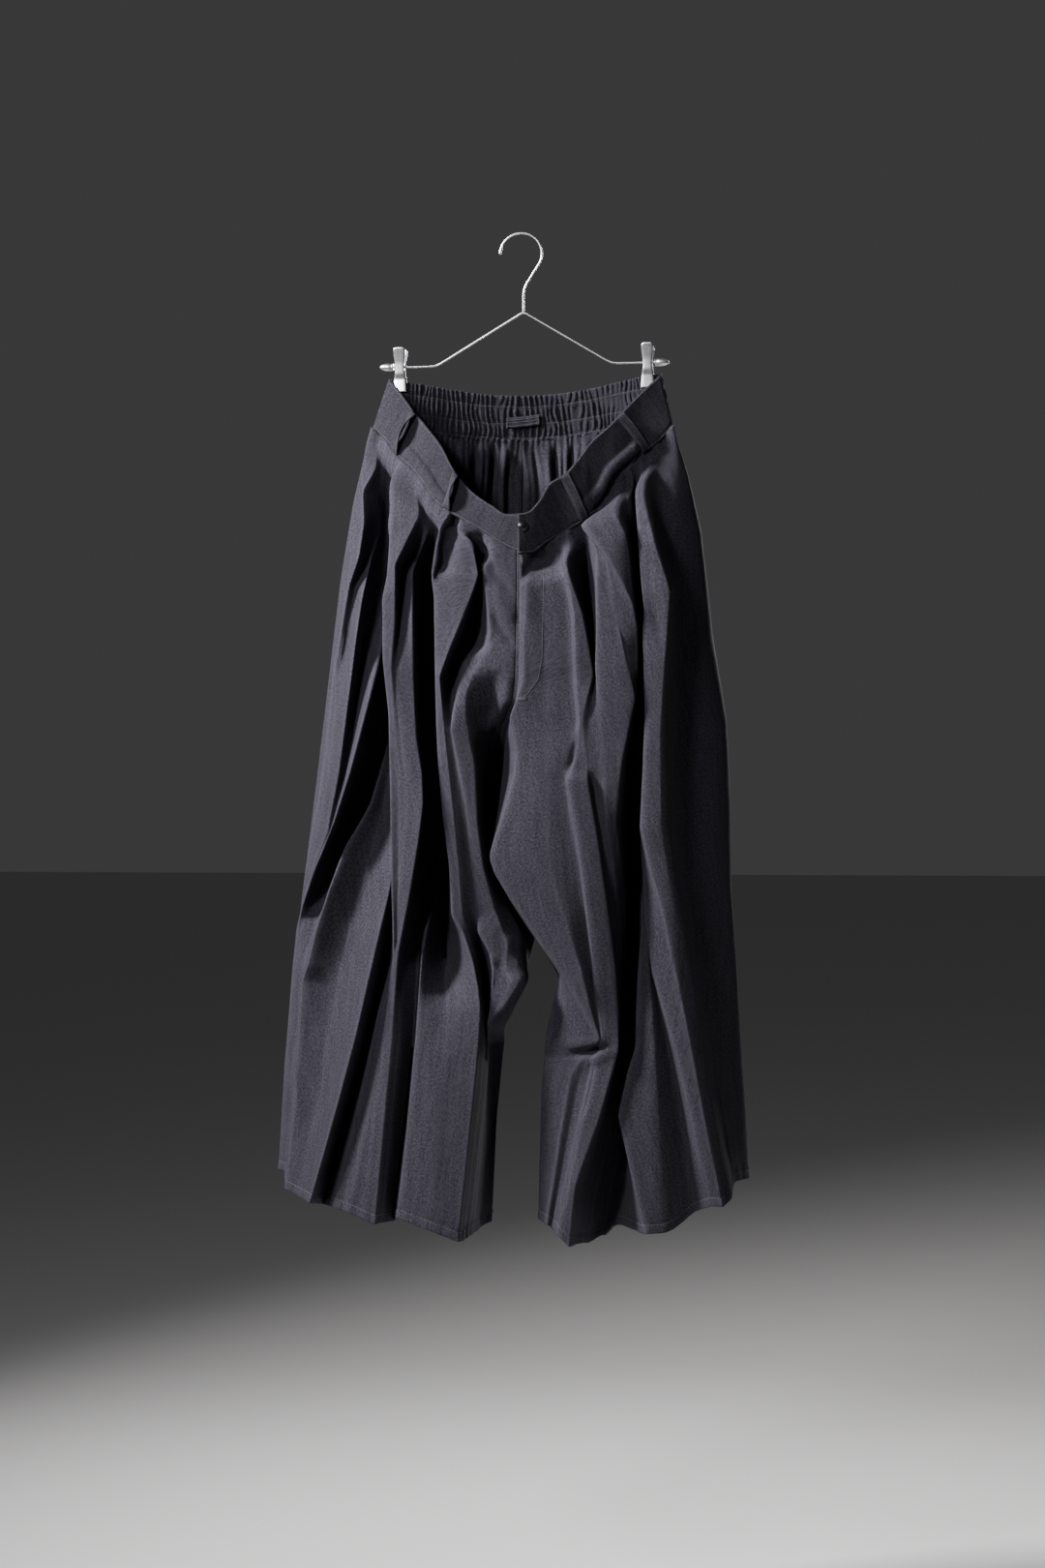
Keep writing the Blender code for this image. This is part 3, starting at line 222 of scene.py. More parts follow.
# %% The run of each folded edge, left
FOLDS_LEFT = (
    ("side_seam", 384, ((520, 366, 8), (600, 353, 6), (700, 341, 6), (800, 329, 8), (880, 319, 18),
        (935, 315, 45), (1000, 313, 62), (1100, 306, 72), (1209, 299, 76))),
    ("outer_rim", 393, ((484, 388, -12), (508, 375, -22), (540, 376, -32), (575, 371, -36),
        (605, 361, -30), (700, 345, -22), (800, 334, -14), (900, 316, 6), (960, 309, 38),
        (1100, 299, 56), (1208, 292, 60))),
    ("outer_dip", 397, ((505, 391, -4), (545, 388, -8), (578, 378, -14), (605, 367, -22),
        (650, 358, -24), (700, 350, -24), (800, 340, -26), (900, 319, 0), (960, 308, 28),
        (1100, 297, 44), (1208, 290, 48))),
    ("outer_cone", 400, ((515, 394, 2), (550, 393, 0), (575, 384, -16), (620, 374, -42),
        (660, 368, -48), (700, 363, -50), (800, 350, -46), (860, 338, -32), (900, 322, -12),
        (960, 307, 20), (1100, 296, 36), (1208, 289, 40))),
    ("outer_tuck", 402, ((525, 398, 10), (580, 389, 4), (640, 379, -12), (700, 372, -24),
        (760, 364, -34), (800, 356, -38), (860, 341, -32), (900, 324, -16), (960, 307, 14),
        (1100, 295, 28), (1208, 288, 32))),
    ("first_ridge", 404, ((530, 402, 14), (600, 396, 8), (655, 397, -22), (700, 387, -50),
        (740, 377, -62), (800, 361, -68), (850, 345, -62), (900, 325, -42), (935, 313, -18),
        (960, 308, 6), (1100, 295, 20), (1208, 288, 24))),
    ("first_hollow", 406, ((535, 405, 14), (620, 402, 14), (700, 394, 6), (780, 379, 0),
        (840, 361, -4), (880, 342, -8), (920, 326, -9), (940, 321, -9), (960, 313, -6),
        (1000, 306, 2), (1100, 297, 10), (1208, 291, 12))),
    ("first_floor", 407, ((540, 408, 12), (620, 408, 14), (700, 402, 12), (780, 391, 8),
        (840, 374, 4), (880, 355, 0), (920, 338, -8), (960, 325, -14), (1000, 314, -14),
        (1060, 309, -8), (1112, 302, -2), (1210, 294, 2))),
    ("second_edge", 408, ((545, 411, 6), (620, 413, 12), (740, 405, 4), (780, 398, -18),
        (830, 384, -36), (876, 357, -46), (915, 342, -52), (960, 327, -50), (998, 318, -42),
        (1015, 312, -32), (1060, 310, -28), (1112, 304, -28), (1228, 295, -24))),
    ("second_dip", 409, ((545, 413, -2), (620, 415, 2), (740, 410, -8), (800, 401, -20),
        (850, 393, -30), (900, 377, -38), (960, 360, -42), (1010, 350, -40), (1080, 338, -40),
        (1140, 329, -42), (1236, 309, -44))),
    ("second_ridge", 411, ((545, 414, -12), (620, 414, -10), (740, 411, -18), (820, 407, -34),
        (870, 405, -52), (912, 404, -66), (960, 393, -80), (1020, 379, -86), (1073, 367, -88),
        (1155, 345, -86), (1243, 320, -82))),
    ("second_hollow", 412, ((545, 412, -24), (620, 410, -28), (740, 410, -34), (860, 411, -40),
        (912, 409, -40), (960, 405, -34), (1000, 400, -28), (1047, 389, -26), (1100, 375, -24),
        (1150, 360, -22), (1244, 334, -22))),
    ("third_edge", 415, ((487, 403, -38), (552, 403, -58), (595, 400, -66), (620, 395, -70),
        (682, 396, -76), (738, 402, -80), (834, 404, -86), (912, 405, -88), (972, 407, -82),
        (990, 406, -74), (1047, 391, -68), (1129, 373, -70), (1247, 344, -74))),
    ("third_rim", 435, ((534, 432, -64), (563, 418, -70), (584, 408, -72), (640, 408, -76),
        (691, 404, -80), (800, 412, -86), (912, 412, -88), (985, 408, -78), (1047, 396, -74),
        (1129, 384, -78), (1252, 358, -82))),
    ("third_dip", 441, ((540, 440, -57), (563, 430, -42), (590, 417, -40), (620, 413, -52),
        (650, 411, -64), (691, 408, -77), (800, 418, -88), (912, 416, -92), (985, 410, -79),
        (1047, 400, -78), (1129, 390, -84), (1258, 372, -88))),
    ("third_ridge", 445, ((546, 443, -54), (578, 431, -44), (592, 426, -60), (640, 426, -73),
        (700, 427, -80), (760, 430, -88), (800, 436, -94), (830, 437, -99), (863, 433, -100),
        (895, 428, -99), (930, 422, -95), (965, 415, -88), (988, 411, -80), (1068, 405, -82),
        (1155, 397, -92), (1265, 387, -96))),
    ("third_step", 449, ((550, 446, -50), (572, 442, -26), (590, 437, -16), (640, 436, -4),
        (700, 438, 0), (800, 442, 2), (860, 438, -14), (915, 428, -38), (940, 424, -52),
        (988, 416, -66), (1030, 414, -72), (1073, 413, -78), (1166, 404, -84), (1263, 394, -88))),
    ("third_hollow", 452, ((553, 449, -46), (574, 447, -16), (592, 443, -4), (640, 444, 10),
        (700, 446, 14), (800, 450, 16), (860, 449, 8), (915, 440, -22), (940, 436, -42),
        (988, 434, -52), (1073, 428, -58), (1166, 419, -62), (1261, 407, -66))),
    ("fourth_edge", 455, ((555, 452, -46), (576, 451, -14), (592, 450, -2), (640, 451, 14),
        (700, 453, 18), (800, 458, 20), (880, 458, 6), (920, 451, -22), (940, 446, -48),
        (965, 440, -70), (988, 436, -80), (1030, 433, -86), (1073, 430, -90), (1166, 421, -94),
        (1258, 410, -96))),
    ("fourth_hollow", 458, ((557, 455, -50), (578, 454, -24), (592, 454, -12), (640, 456, 4),
        (700, 458, 8), (800, 463, 12), (880, 466, 8), (945, 462, -6), (990, 461, -34),
        (1020, 460, -66), (1045, 461, -90), (1090, 460, -103), (1166, 452, -108),
        (1270, 440, -112))),
    ("fourth_ridge", 466, ((545, 457, -60), (562, 450, -65), (591, 446, -68), (621, 449, -72),
        (710, 450, -78), (776, 452, -82), (834, 457, -86), (891, 464, -90), (945, 468, -92),
        (965, 479, -95), (995, 489, -99), (1021, 494, -103), (1042, 496, -106), (1080, 494, -109),
        (1123, 490, -112), (1283, 473, -118))),
    ("inner_rim", 476, ((553, 486, -76), (594, 494, -90), (700, 454, -86), (752, 459, -87),
        (834, 468, -90), (900, 474, -92), (945, 478, -92), (985, 490, -90), (1042, 501, -84),
        (1123, 496, -88), (1282, 478, -98))),
    ("inner_hollow", 488, ((565, 492, -56), (600, 494, -42), (650, 487, -38), (690, 470, -46),
        (720, 466, -66), (752, 466, -86), (834, 479, -87), (900, 486, -86), (945, 490, -82),
        (985, 500, -62), (1042, 506, -46), (1123, 501, -60), (1278, 483, -78))),
    ("inner_edge", 500, ((565, 506, -80), (590, 500, -85), (655, 507, -89), (668, 503, -84),
        (684, 482, -75), (715, 473, -80), (752, 466, -92), (758, 467, -92), (834, 483, -89),
        (900, 490, -86), (945, 494, -84), (962, 494, -90), (985, 507, -93), (1003, 510, -96),
        (1017, 509, -97), (1042, 507, -98), (1058, 504, -98), (1076, 504, -66), (1123, 502, -40),
        (1274, 488, -52))),
    ("inner_strip", 508, ((600, 512, -88), (655, 514, -90), (690, 494, -84), (720, 482, -84),
        (760, 484, -90), (790, 490, -92), (850, 493, -90), (895, 499, -88), (940, 511, -86),
        (975, 525, -94), (1000, 522, -98), (1010, 527, -101), (1042, 515, -100), (1058, 506, -98),
        (1076, 505, -40), (1123, 506, 4), (1270, 494, -4))),
    ("inner_swell", 520, ((600, 523, -91), (655, 523, -92), (690, 514, -90), (712, 510, -76),
        (735, 508, -62), (755, 503, -58), (800, 502, -34), (850, 502, -26), (895, 507, -30),
        (930, 521, -50), (968, 538, -74), (1000, 534, -96), (1012, 537, -104), (1040, 520, -102),
        (1058, 510, -94), (1076, 512, -4), (1155, 511, 30), (1265, 501, 26))),
    ("centre_seam", 534, ((600, 534, -92), (660, 533, -93), (700, 532, -92), (725, 529, -84),
        (748, 519, -56), (775, 514, -26), (850, 510, 0), (895, 513, 0), (940, 536, -8),
        (968, 553, -8), (1010, 541, -16), (1050, 524, -2), (1100, 518, 16), (1155, 513, 30),
        (1261, 508, 36))),
)
print("folds on the left front:", len(FOLDS_LEFT))

# %% [markdown]
# ## The folds of the right front
# The right front has fewer edges. Below the crotch its inner pleats are caught and turned, so
# several edges meet there and part again.

# %% The run of each folded edge, right
FOLDS_RIGHT = (
    ("centre_seam", 534, ((600, 534, -92), (660, 533, -93), (700, 532, -92), (725, 529, -84),
        (748, 519, -56), (775, 514, -26), (850, 510, 0), (895, 513, 0), (940, 536, -8),
        (968, 553, -6), (1010, 578, 4), (1060, 570, 14), (1125, 565, 24), (1259, 562, 34))),
    ("inner_edge", 539, ((575, 539, -84), (588, 539, -86), (606, 538, -97), (700, 537, -98),
        (725, 533, -92), (760, 524, -58), (800, 520, -44), (850, 512, -44), (890, 508, -56),
        (930, 527, -60), (971, 554, -58), (1007, 579, -68), (1040, 571, -74), (1081, 564, -77),
        (1125, 560, -79), (1190, 558, -81), (1259, 557, -84))),
    ("crotch_fold", 545, ((574, 546, -78), (588, 545, -80), (604, 544, -100), (700, 541, -103),
        (723, 534, -102), (742, 527, -99), (776, 534, -98), (800, 532, -98), (849, 518, -99),
        (884, 506, -99), (902, 511, -100), (971, 556, -104), (1004, 579, -107), (1072, 618, -111),
        (1086, 606, -99), (1110, 590, -95), (1265, 565, -98))),
    ("belly", 562, ((572, 562, -77), (586, 562, -79), (602, 562, -98), (700, 564, -101),
        (780, 566, -107), (850, 566, -110), (900, 570, -113), (960, 588, -116), (1020, 605, -117),
        (1058, 614, -112), (1073, 620, -112), (1090, 609, -99), (1120, 598, -94),
        (1268, 570, -96))),
    ("first_dip", 576, ((566, 578, -79), (580, 579, -82), (596, 582, -102), (635, 590, -102),
        (711, 593, -103), (745, 596, -106), (770, 592, -109), (794, 586, -109), (806, 584, -109),
        (850, 590, -109), (891, 598, -109), (950, 606, -108), (998, 611, -107), (1050, 617, -107),
        (1073, 621, -110), (1094, 612, -97), (1166, 596, -99), (1272, 573, -101))),
    ("strip_left", 580, ((583, 584, -104), (635, 593, -110), (711, 596, -111), (745, 599, -112),
        (765, 597, -110), (796, 589, -110), (806, 587, -115), (891, 601, -114), (998, 613, -112),
        (1050, 619, -112), (1070, 622, -112), (1090, 616, -104), (1166, 599, -107),
        (1276, 576, -110))),
    ("strip_right", 585, ((587, 586, -106), (635, 602, -109), (697, 613, -110), (720, 607, -113),
        (745, 602, -112), (765, 603, -111), (796, 606, -111), (806, 607, -116), (872, 618, -114),
        (998, 635, -109), (1045, 638, -109), (1083, 639, -112), (1105, 633, -110),
        (1155, 619, -111), (1227, 594, -113), (1288, 588, -115))),
    ("second_hollow", 600, ((545, 598, -70), (562, 605, -60), (620, 609, -52), (670, 614, -66),
        (700, 614, -98), (720, 612, -107), (745, 608, -110), (796, 610, -111), (810, 612, -106),
        (872, 622, -104), (940, 632, -92), (998, 637, -80), (1045, 641, -62), (1083, 638, -52),
        (1105, 636, -48), (1155, 628, -42), (1227, 610, -34), (1284, 602, -34))),
    ("second_edge", 610, ((545, 601, -84), (562, 616, -92), (568, 617, -98), (600, 617, -108),
        (640, 617, -110), (690, 616, -112), (720, 618, -112), (780, 621, -112), (850, 627, -109),
        (900, 635, -99), (960, 641, -72), (1045, 643, -42), (1105, 640, -32), (1155, 633, -28),
        (1227, 616, -22), (1284, 608, -20))),
    ("second_crest", 620, ((546, 603, -86), (566, 618, -97), (577, 626, -104), (600, 629, -109),
        (624, 633, -112), (660, 642, -115), (721, 656, -117), (740, 652, -116), (790, 642, -114),
        (850, 636, -106), (900, 642, -86), (960, 647, -50), (1045, 646, -24), (1105, 643, -20),
        (1160, 638, -18), (1227, 624, -14), (1280, 615, -14))),
    ("second_sliver", 627, ((528, 599, -84), (543, 600, -96), (566, 619, -106), (577, 629, -110),
        (600, 642, -112), (625, 654, -114), (648, 658, -112), (690, 659, -108), (717, 657, -98),
        (760, 651, -66), (850, 645, -46), (900, 646, -42), (960, 648, -26), (1000, 649, -18),
        (1045, 649, -12), (1105, 645, -10), (1160, 641, -12), (1227, 632, -14), (1276, 622, -18))),
    ("second_lap", 633, ((524, 632, -86), (536, 638, -100), (552, 646, -106), (575, 650, -104),
        (600, 652, -105), (625, 656, -107), (648, 659, -104), (690, 660, -98), (717, 658, -88),
        (760, 653, -60), (850, 647, -40), (900, 648, -36), (960, 650, -22), (1045, 650, -10),
        (1105, 647, -8), (1160, 643, -10), (1227, 635, -16), (1276, 625, -20))),
    ("groove", 640, ((540, 652, -70), (560, 655, -50), (650, 664, -30), (720, 663, -20),
        (800, 656, -12), (900, 655, -8), (1000, 655, -2), (1100, 652, -2), (1160, 648, -10),
        (1209, 642, -24), (1268, 632, -30))),
    ("third_edge", 648, ((540, 655, -60), (560, 657, -50), (650, 668, -32), (720, 668, -20),
        (800, 662, -12), (870, 661, -22), (920, 663, -48), (960, 664, -70), (1004, 660, -82),
        (1040, 658, -90), (1081, 657, -96), (1107, 649, -99), (1153, 639, -101), (1188, 647, -105),
        (1275, 668, -111))),
    ("third_swell", 651, ((560, 659, -24), (650, 673, -26), (720, 673, -20), (800, 668, -20),
        (870, 665, -38), (920, 667, -62), (960, 668, -80), (1004, 671, -92), (1050, 674, -101),
        (1100, 677, -104), (1160, 681, -106), (1273, 689, -108))),
    ("third_dip", 653, ((560, 663, -30), (650, 676, -36), (720, 675, -34), (800, 671, -34),
        (870, 667, -50), (920, 669, -70), (960, 671, -82), (1004, 674, -88), (1050, 684, -91),
        (1100, 694, -92), (1160, 706, -92), (1252, 718, -90))),
    ("fourth_edge", 655, ((560, 664, -44), (650, 674, -54), (720, 673, -56), (800, 669, -60),
        (855, 662, -70), (900, 664, -82), (950, 667, -90), (1004, 674, -98), (1045, 686, -104),
        (1089, 699, -108), (1165, 717, -108), (1246, 735, -104))),
    ("fourth_ridge", 659, ((512, 657, -72), (561, 660, -98), (612, 664, -107), (632, 666, -109),
        (656, 664, -109), (725, 667, -111), (790, 665, -111), (855, 662, -110), (891, 671, -109),
        (940, 685, -110), (998, 697, -111), (1066, 711, -114), (1165, 730, -114),
        (1247, 747, -110))),
    ("fourth_turn", 668, ((512, 664, -78), (560, 676, -106), (612, 692, -113), (680, 687, -115),
        (760, 682, -116), (850, 683, -115), (900, 690, -112), (960, 702, -107), (1066, 722, -102),
        (1165, 741, -99), (1240, 754, -95))),
    ("side_dip", 678, ((530, 684, -58), (600, 699, -64), (700, 698, -68), (850, 704, -70),
        (940, 711, -70), (1060, 731, -66), (1222, 759, -62))),
    ("side_swell", 687, ((520, 701, -50), (600, 716, -46), (700, 731, -44), (820, 737, -42),
        (940, 735, -40), (1112, 754, -34), (1219, 766, -32))),
    ("side_seam", 695, ((494, 711, -24), (550, 724, -14), (657, 736, -8), (744, 750, -4),
        (827, 754, 0), (914, 755, 2), (985, 760, 4), (1216, 773, 6))),
)
print("folds on the right front:", len(FOLDS_RIGHT))

# %% [markdown]
# ## How softly each edge is folded
# An iron presses some edges sharp, and others are only bends that the hanging cloth has found. The
# first number is at the waist and the second at the hem: 0 is a pressed edge and 1 a round one. A
# seam isn't in the list, because the cloth beside it is laid flat.

# %% Pressed and soft edges
SOFTNESS = {
    "outer_rim": (0.2, 0.05), "outer_dip": (0.7, 0.6), "outer_cone": (0.2, 0.2),
    "outer_tuck": (0.4, 0.4), "first_ridge": (0.12, 0.03), "first_hollow": (0.8, 0.7),
    "first_floor": (0.7, 0.4), "second_edge": (0.1, 0.03), "second_dip": (0.8, 0.7),
    "second_ridge": (0.1, 0.03), "second_hollow": (0.7, 0.5), "third_edge": (0.1, 0.05),
    "third_rim": (0.15, 0.1), "third_dip": (0.7, 0.6), "third_ridge": (0.15, 0.05),
    "third_step": (0.7, 0.4), "third_hollow": (0.8, 0.7), "fourth_edge": (0.3, 0.06),
    "fourth_hollow": (0.8, 0.5), "fourth_ridge": (0.12, 0.05), "inner_rim": (0.05, 0.08),
    "inner_hollow": (0.8, 0.7), "inner_edge": (0.15, 0.08), "inner_strip": (0.4, 0.3),
    "inner_swell": (0.9, 0.8), "crotch_fold": (0.12, 0.06), "belly": (0.95, 0.5),
    "first_dip": (0.2, 0.1), "strip_left": (0.08, 0.03), "strip_right": (0.08, 0.03),
    "second_crest": (0.3, 0.3), "second_sliver": (0.06, 0.1), "second_lap": (0.5, 0.4),
    "groove": (0.8, 0.7), "third_swell": (0.95, 0.9), "fourth_turn": (0.5, 0.9),
    "side_dip": (0.9, 0.9), "side_swell": (0.9, 0.9),
}
print("pressed edges:", sum(low < 0.25 for low, high in SOFTNESS.values()), "of", len(SOFTNESS))

# %% [markdown]
# ## Rows of cloth
# The cloth is worked out row by row, from the band to the hem. Most rows are a few millimetres
# apart, and those at the hem are closer, because the turned-up edge and its stitching need them.
# All rows are named by the sheet's own rows, and are stretched to fit a slanting waist and hem.

# %% The rows, and the run of one fold
FIRST_ROW = 520
LAST_ROW = 1250
HEM_ROWS = [1238.5, 1240.0, 1241.5, 1244.0, 1246.5, 1248.7, 1250.0]
STITCHED_ROW = 1241.5
TURNED_UP_ROW = 1239.0
DITCH_ROW = 1240.5              # where the stitches pull the hem in
FINE_ROWS = np.array(list(np.linspace(FIRST_ROW - 2.0, 1235.5, 196)) + HEM_ROWS)
TOP_FADE = 0.30                 # the waist's slant has gone this far down the panel
HEM_FADE = 0.80                 # the hem's slant starts here
LEAVING_ROWS = 30               # rows in which a fold leaves the slope of its band
ROUNDED = 0.2                   # share of a smooth curve in the run of a folded edge


def bent_at(rows, values, row):
    """A line through places that turns mostly at the places themselves, as a pressed edge does."""
    return ROUNDED * smooth_at(rows, values, row) + (1 - ROUNDED) * np.interp(row, rows, values)


def fold_run(seat, slope, points, nominal):
    """The places that a fold goes through at nominal rows, leaving the band in its own slope."""
    knots = [tuple(seat)] + list(points)
    rows = [k[0] for k in knots]
    share = (nominal - FIRST_ROW) / (LAST_ROW - FIRST_ROW)
    row = nominal + (rows[0] - FIRST_ROW) * (1 - ease(share / TOP_FADE))
    row = row + (rows[-1] - LAST_ROW) * ease((share - HEM_FADE) / (1 - HEM_FADE))
    leave = ease((nominal - FIRST_ROW) / LEAVING_ROWS)
    run = [row]
    for k in (1, 2):
        free = bent_at(rows, [knot[k] for knot in knots], row)
        run.append(free * leave + (seat[k] + slope[k] * (row - rows[0])) * (1 - leave))
    return np.stack(run, axis=-1)


print("rows of cloth:", len(FINE_ROWS), "one each",
      round(np.diff(FINE_ROWS)[0] * SQUARE / MM, 1), "mm")

# %% [markdown]
# ## Meeting at the seams
# A front and a back meet along the side seam and the centre seam, which turns through a quarter
# circle at the crotch and becomes the inseam. Beside each seam the cloth lies flat for a few
# millimetres, on the seam's land, so that the two panels join without a kink.

# %% The direction from a seam into its panel
CROTCH_ROW = 968
CROTCH_EASE = 45                # rows above and below the crotch in which the seams turn
LAND = 6 * MM                   # flat margin of each panel beside a seam
SEAM_STAND = 0.2                # a panel's middle starts this far from the seam's line, in mm


def seam_inward(seam, nominal, right, facing):
    """The level direction from a seam into a panel; facing is -1 for a front and 1 for a back."""
    if seam == "side_seam":
        return np.broadcast_to(facing * BACKWARD, (len(nominal), 3))
    turn = (pi / 2 * ease((nominal - CROTCH_ROW + CROTCH_EASE) / (2 * CROTCH_EASE)))[:, None]
    sideways = ALONG if right else -ALONG
    return np.cos(turn) * sideways + facing * np.sin(turn) * BACKWARD


print("the seams turn over", 2 * CROTCH_EASE, "rows, from row", CROTCH_ROW - CROTCH_EASE)

# %% [markdown]
# ## From folded edges to cloth
# A row of cloth runs from edge to edge. Between two pressed edges it is straight, and through a
# soft fold it turns gradually. Extra points go close beside every edge, which gives a pressed fold
# the small round nose that thick cloth has. A bevel afterwards would round every edge alike.

# %% Spanning the folds
NOSE = 0.9 * MM                 # the round nose of a pressed fold reaches this far
WIDEST_NOSE = 0.3               # but no further than this share of the span
PRESS_REACH = 4 * MM            # how far from its edge the painted highlight of a pressed fold reaches


def span_counts(knots, columns):
    """How many points each span gets, so that the whole row has about this many."""
    spans = np.linalg.norm(np.diff(knots, axis=1), axis=2)
    mean = spans.mean(axis=0) * 0.5 + spans.max(axis=0) * 0.5
    spare = columns - 2 * len(mean) - 1
    return np.maximum(1, np.round(mean / mean.sum() * spare)).astype(int)


def spanned(knots, softness, columns, belly):
    """Rows of points through the edges, each column's edge number, and how pressed it is."""
    chord = np.diff(knots, axis=1)
    length = np.maximum(np.linalg.norm(chord, axis=2, keepdims=True), 1e-5)
    direction = chord / length
    before, after = length[:, :-1], length[:, 1:]
    shared = (direction[:, :-1] * after + direction[:, 1:] * before) / (before + after)
    shared = np.concatenate([direction[:, :1], shared, direction[:, -1:]], axis=1)
    counts = span_counts(knots, columns)
    grid, number, pressed = [], [], []
    for k, count in enumerate(counts):
        size = length[:, k]
        soft_a, soft_b = softness[:, k, None], softness[:, k + 1, None]
        start = (direction[:, k] * (1 - soft_a) + shared[:, k] * soft_a) * size
        end = (direction[:, k] * (1 - soft_b) + shared[:, k + 1] * soft_b) * size
        near = np.minimum(WIDEST_NOSE, NOSE / size)
        for j in range(count + 1):
            t = near + (1 - 2 * near) * j / count
            p = ((1 + 2 * t) * (1 - t) ** 2 * knots[:, k] + t * (1 - t) ** 2 * start
                 + t * t * (3 - 2 * t) * knots[:, k + 1] + t * t * (t - 1) * end)
            grid.append(p + belly[:, k] * 4 * t * (1 - t) * size)
            number.append(k + (0.02 + 0.96 * j / count))
            # nearness to a pressed edge, which the twill paints as a highlight
            from_edge = np.minimum(t, 1 - t) * size / PRESS_REACH
            nearer = np.where(t < 0.5, soft_a, soft_b)
            pressed.append((np.exp(-from_edge ** 2) * (1 - nearer))[:, 0])
        if k < len(counts) - 1:
            grid.append(None)
            number.append(k + 1.0)
            pressed.append(np.maximum(0, 1 - softness[:, k + 1]))
    for c, p in enumerate(grid):
        if p is None:
            grid[c] = (grid[c - 1] + grid[c + 1]) / 4 + knots[:, int(number[c])] / 2
    grid = [knots[:, 0]] + grid + [knots[:, -1]]
    number = [0.0] + number + [float(len(counts))]
    pressed = [pressed[0] * 0] + pressed + [pressed[0] * 0]
    return np.stack(grid, axis=1), np.array(number), np.stack(pressed, axis=1)


print("a pressed fold's nose is", NOSE / MM, "mm wide")

# %% [markdown]
# ## Normals and lengths
# The points are kept as grids, rows by columns, so it is easy to find which way the cloth faces
# at each point, and where each point lay on the flat cloth.

# %% Measuring a grid
def normals_of(grid):
    """The outward normal at each point of a grid, rows running down and columns to the right."""
    across = np.gradient(grid, axis=1)
    down = np.gradient(grid, axis=0)
    normal = np.cross(down, across)
    return normal / np.maximum(np.linalg.norm(normal, axis=2, keepdims=True), 1e-12)


def running_length(grid, axis):
    """How far each point is along its row (axis 1) or down its column (axis 0)."""
    steps = np.linalg.norm(np.diff(grid, axis=axis), axis=2)
    start = np.zeros_like(steps[:, :1] if axis == 1 else steps[:1])
    return np.concatenate([start, np.cumsum(steps, axis=axis)], axis=axis)


def lengths_of(grid):
    """Both lengths of a grid: along its rows, and down its columns."""
    return running_length(grid, 1), running_length(grid, 0)


sample = place(np.array([[0, 0], [100, 100]]), np.array([[0, 100], [0, 100]]), 0)
print("a hundred squares are", running_length(sample, 1)[0, -1].round(3), "m; they face",
      normals_of(sample)[0, 0].round(2))

# %% [markdown]
# ## The fronts
# Each front is one wide panel. Its outer edge is the side seam, and its inner edge is the centre
# seam down to the crotch and the inseam below it, where the cloth turns to meet the back. Each
# span also swells a little by an uneven amount, for no cloth is perfectly flat.

# %% Laying out the fronts
FRONT_COLUMNS = 208
SOFTEN_FROM, SOFTEN_OVER = 560, 420     # rows in which an edge goes to its hem's softness
LAND_SOFTNESS = 0.9
SWELL = 0.012                   # a span's belly, as a share of its width
SWELL_FROM, SWELL_OVER = 540, 80


def front_grid(band, folds, right, seed):
    """Everything known about a front: its points, and each column's place among the folds."""
    nominal = np.maximum(FINE_ROWS, FIRST_ROW)
    lift = (FINE_ROWS - nominal)[:, None] * SQUARE * -UP
    centre_seat, centre_slope = seat_on(BAND_LEFT, FOLDS_LEFT[-1][1])
    runs, soft, names = [], [], []
    fade = ease((nominal - SOFTEN_FROM) / SOFTEN_OVER)
    for name, column, points in folds:
        seat, slope = seat_on(band, column)
        run = fold_run(seat, slope, points, nominal)
        if name == "centre_seam":
            shared = fold_run(centre_seat, centre_slope, FOLDS_LEFT[-1][2], nominal)
            run = np.where((nominal <= CROTCH_ROW)[:, None], shared, run)
        runs.append(place(*run.T))
        low, high = SOFTNESS.get(name, (0.6, 0.6))
        soft.append(low + (high - low) * fade)
        names.append(name)
    laid = [np.full(len(nominal), LAND_SOFTNESS)] * 2
    edges = []
    for end in (0, -1):
        inward = seam_inward(names[end], nominal, right, -1)
        seam = runs[end] + inward * SEAM_STAND * MM
        edges.append([seam, seam + inward * LAND])
    knots = np.stack(edges[0] + runs[1:-1] + edges[1][::-1], axis=1)
    softness = np.stack(laid + soft[1:-1] + laid, axis=1)
    names = [names[0], "land"] + names[1:-1] + ["land", names[-1]]
    k = np.arange(len(names) - 1)[None, :]
    swell = soft_noise(nominal[:, None] / 160, k * 3.7, seed) * SWELL
    swell = swell * ease((nominal[:, None] - SWELL_FROM) / SWELL_OVER)
    chord = np.diff(knots, axis=1)
    out = np.cross(-UP, chord / np.maximum(np.linalg.norm(chord, axis=2, keepdims=True), 1e-6))
    grid, number, pressed = spanned(knots, softness, FRONT_COLUMNS, out * swell[..., None])
    return {"points": grid + lift[:, None], "number": number, "pressed": pressed, "names": names}


left = front_grid(BAND_LEFT, FOLDS_LEFT, False, 11)
right = front_grid(BAND_RIGHT, FOLDS_RIGHT, True, 23)
for side_name, front in (("left", left), ("right", right)):
    across, down = lengths_of(front["points"])
    print(side_name, front["points"].shape, "width", across[[5, 60, 120, -1], -1].round(3),
          "length", down[-1].mean().round(3))

# %% [markdown]
# ## The backs
# The backs follow a rule rather than marked pleats: small gathers leave the elastic, die away
# over a hand's width, bunch together and drop into a few broad soft folds. Sines of uneven pitch
# and height give all that, and drawing the gathers one by one would be tiresome.

# %% The shape of a back
GATHERS = 58                    # along the whole elastic
BAND_MARGIN = 0.006             # a band ends this short of the side seam, as a share of its length
BACK_COLUMNS = 209
BACK_CENTRE = (
    (456, 541, 37), (560, 541, 52), (700, 541, 60), (820, 544, 52), (900, 548, 34),
    (940, 551, 14), (968, 553, -6), (1250, 553, -6),
)
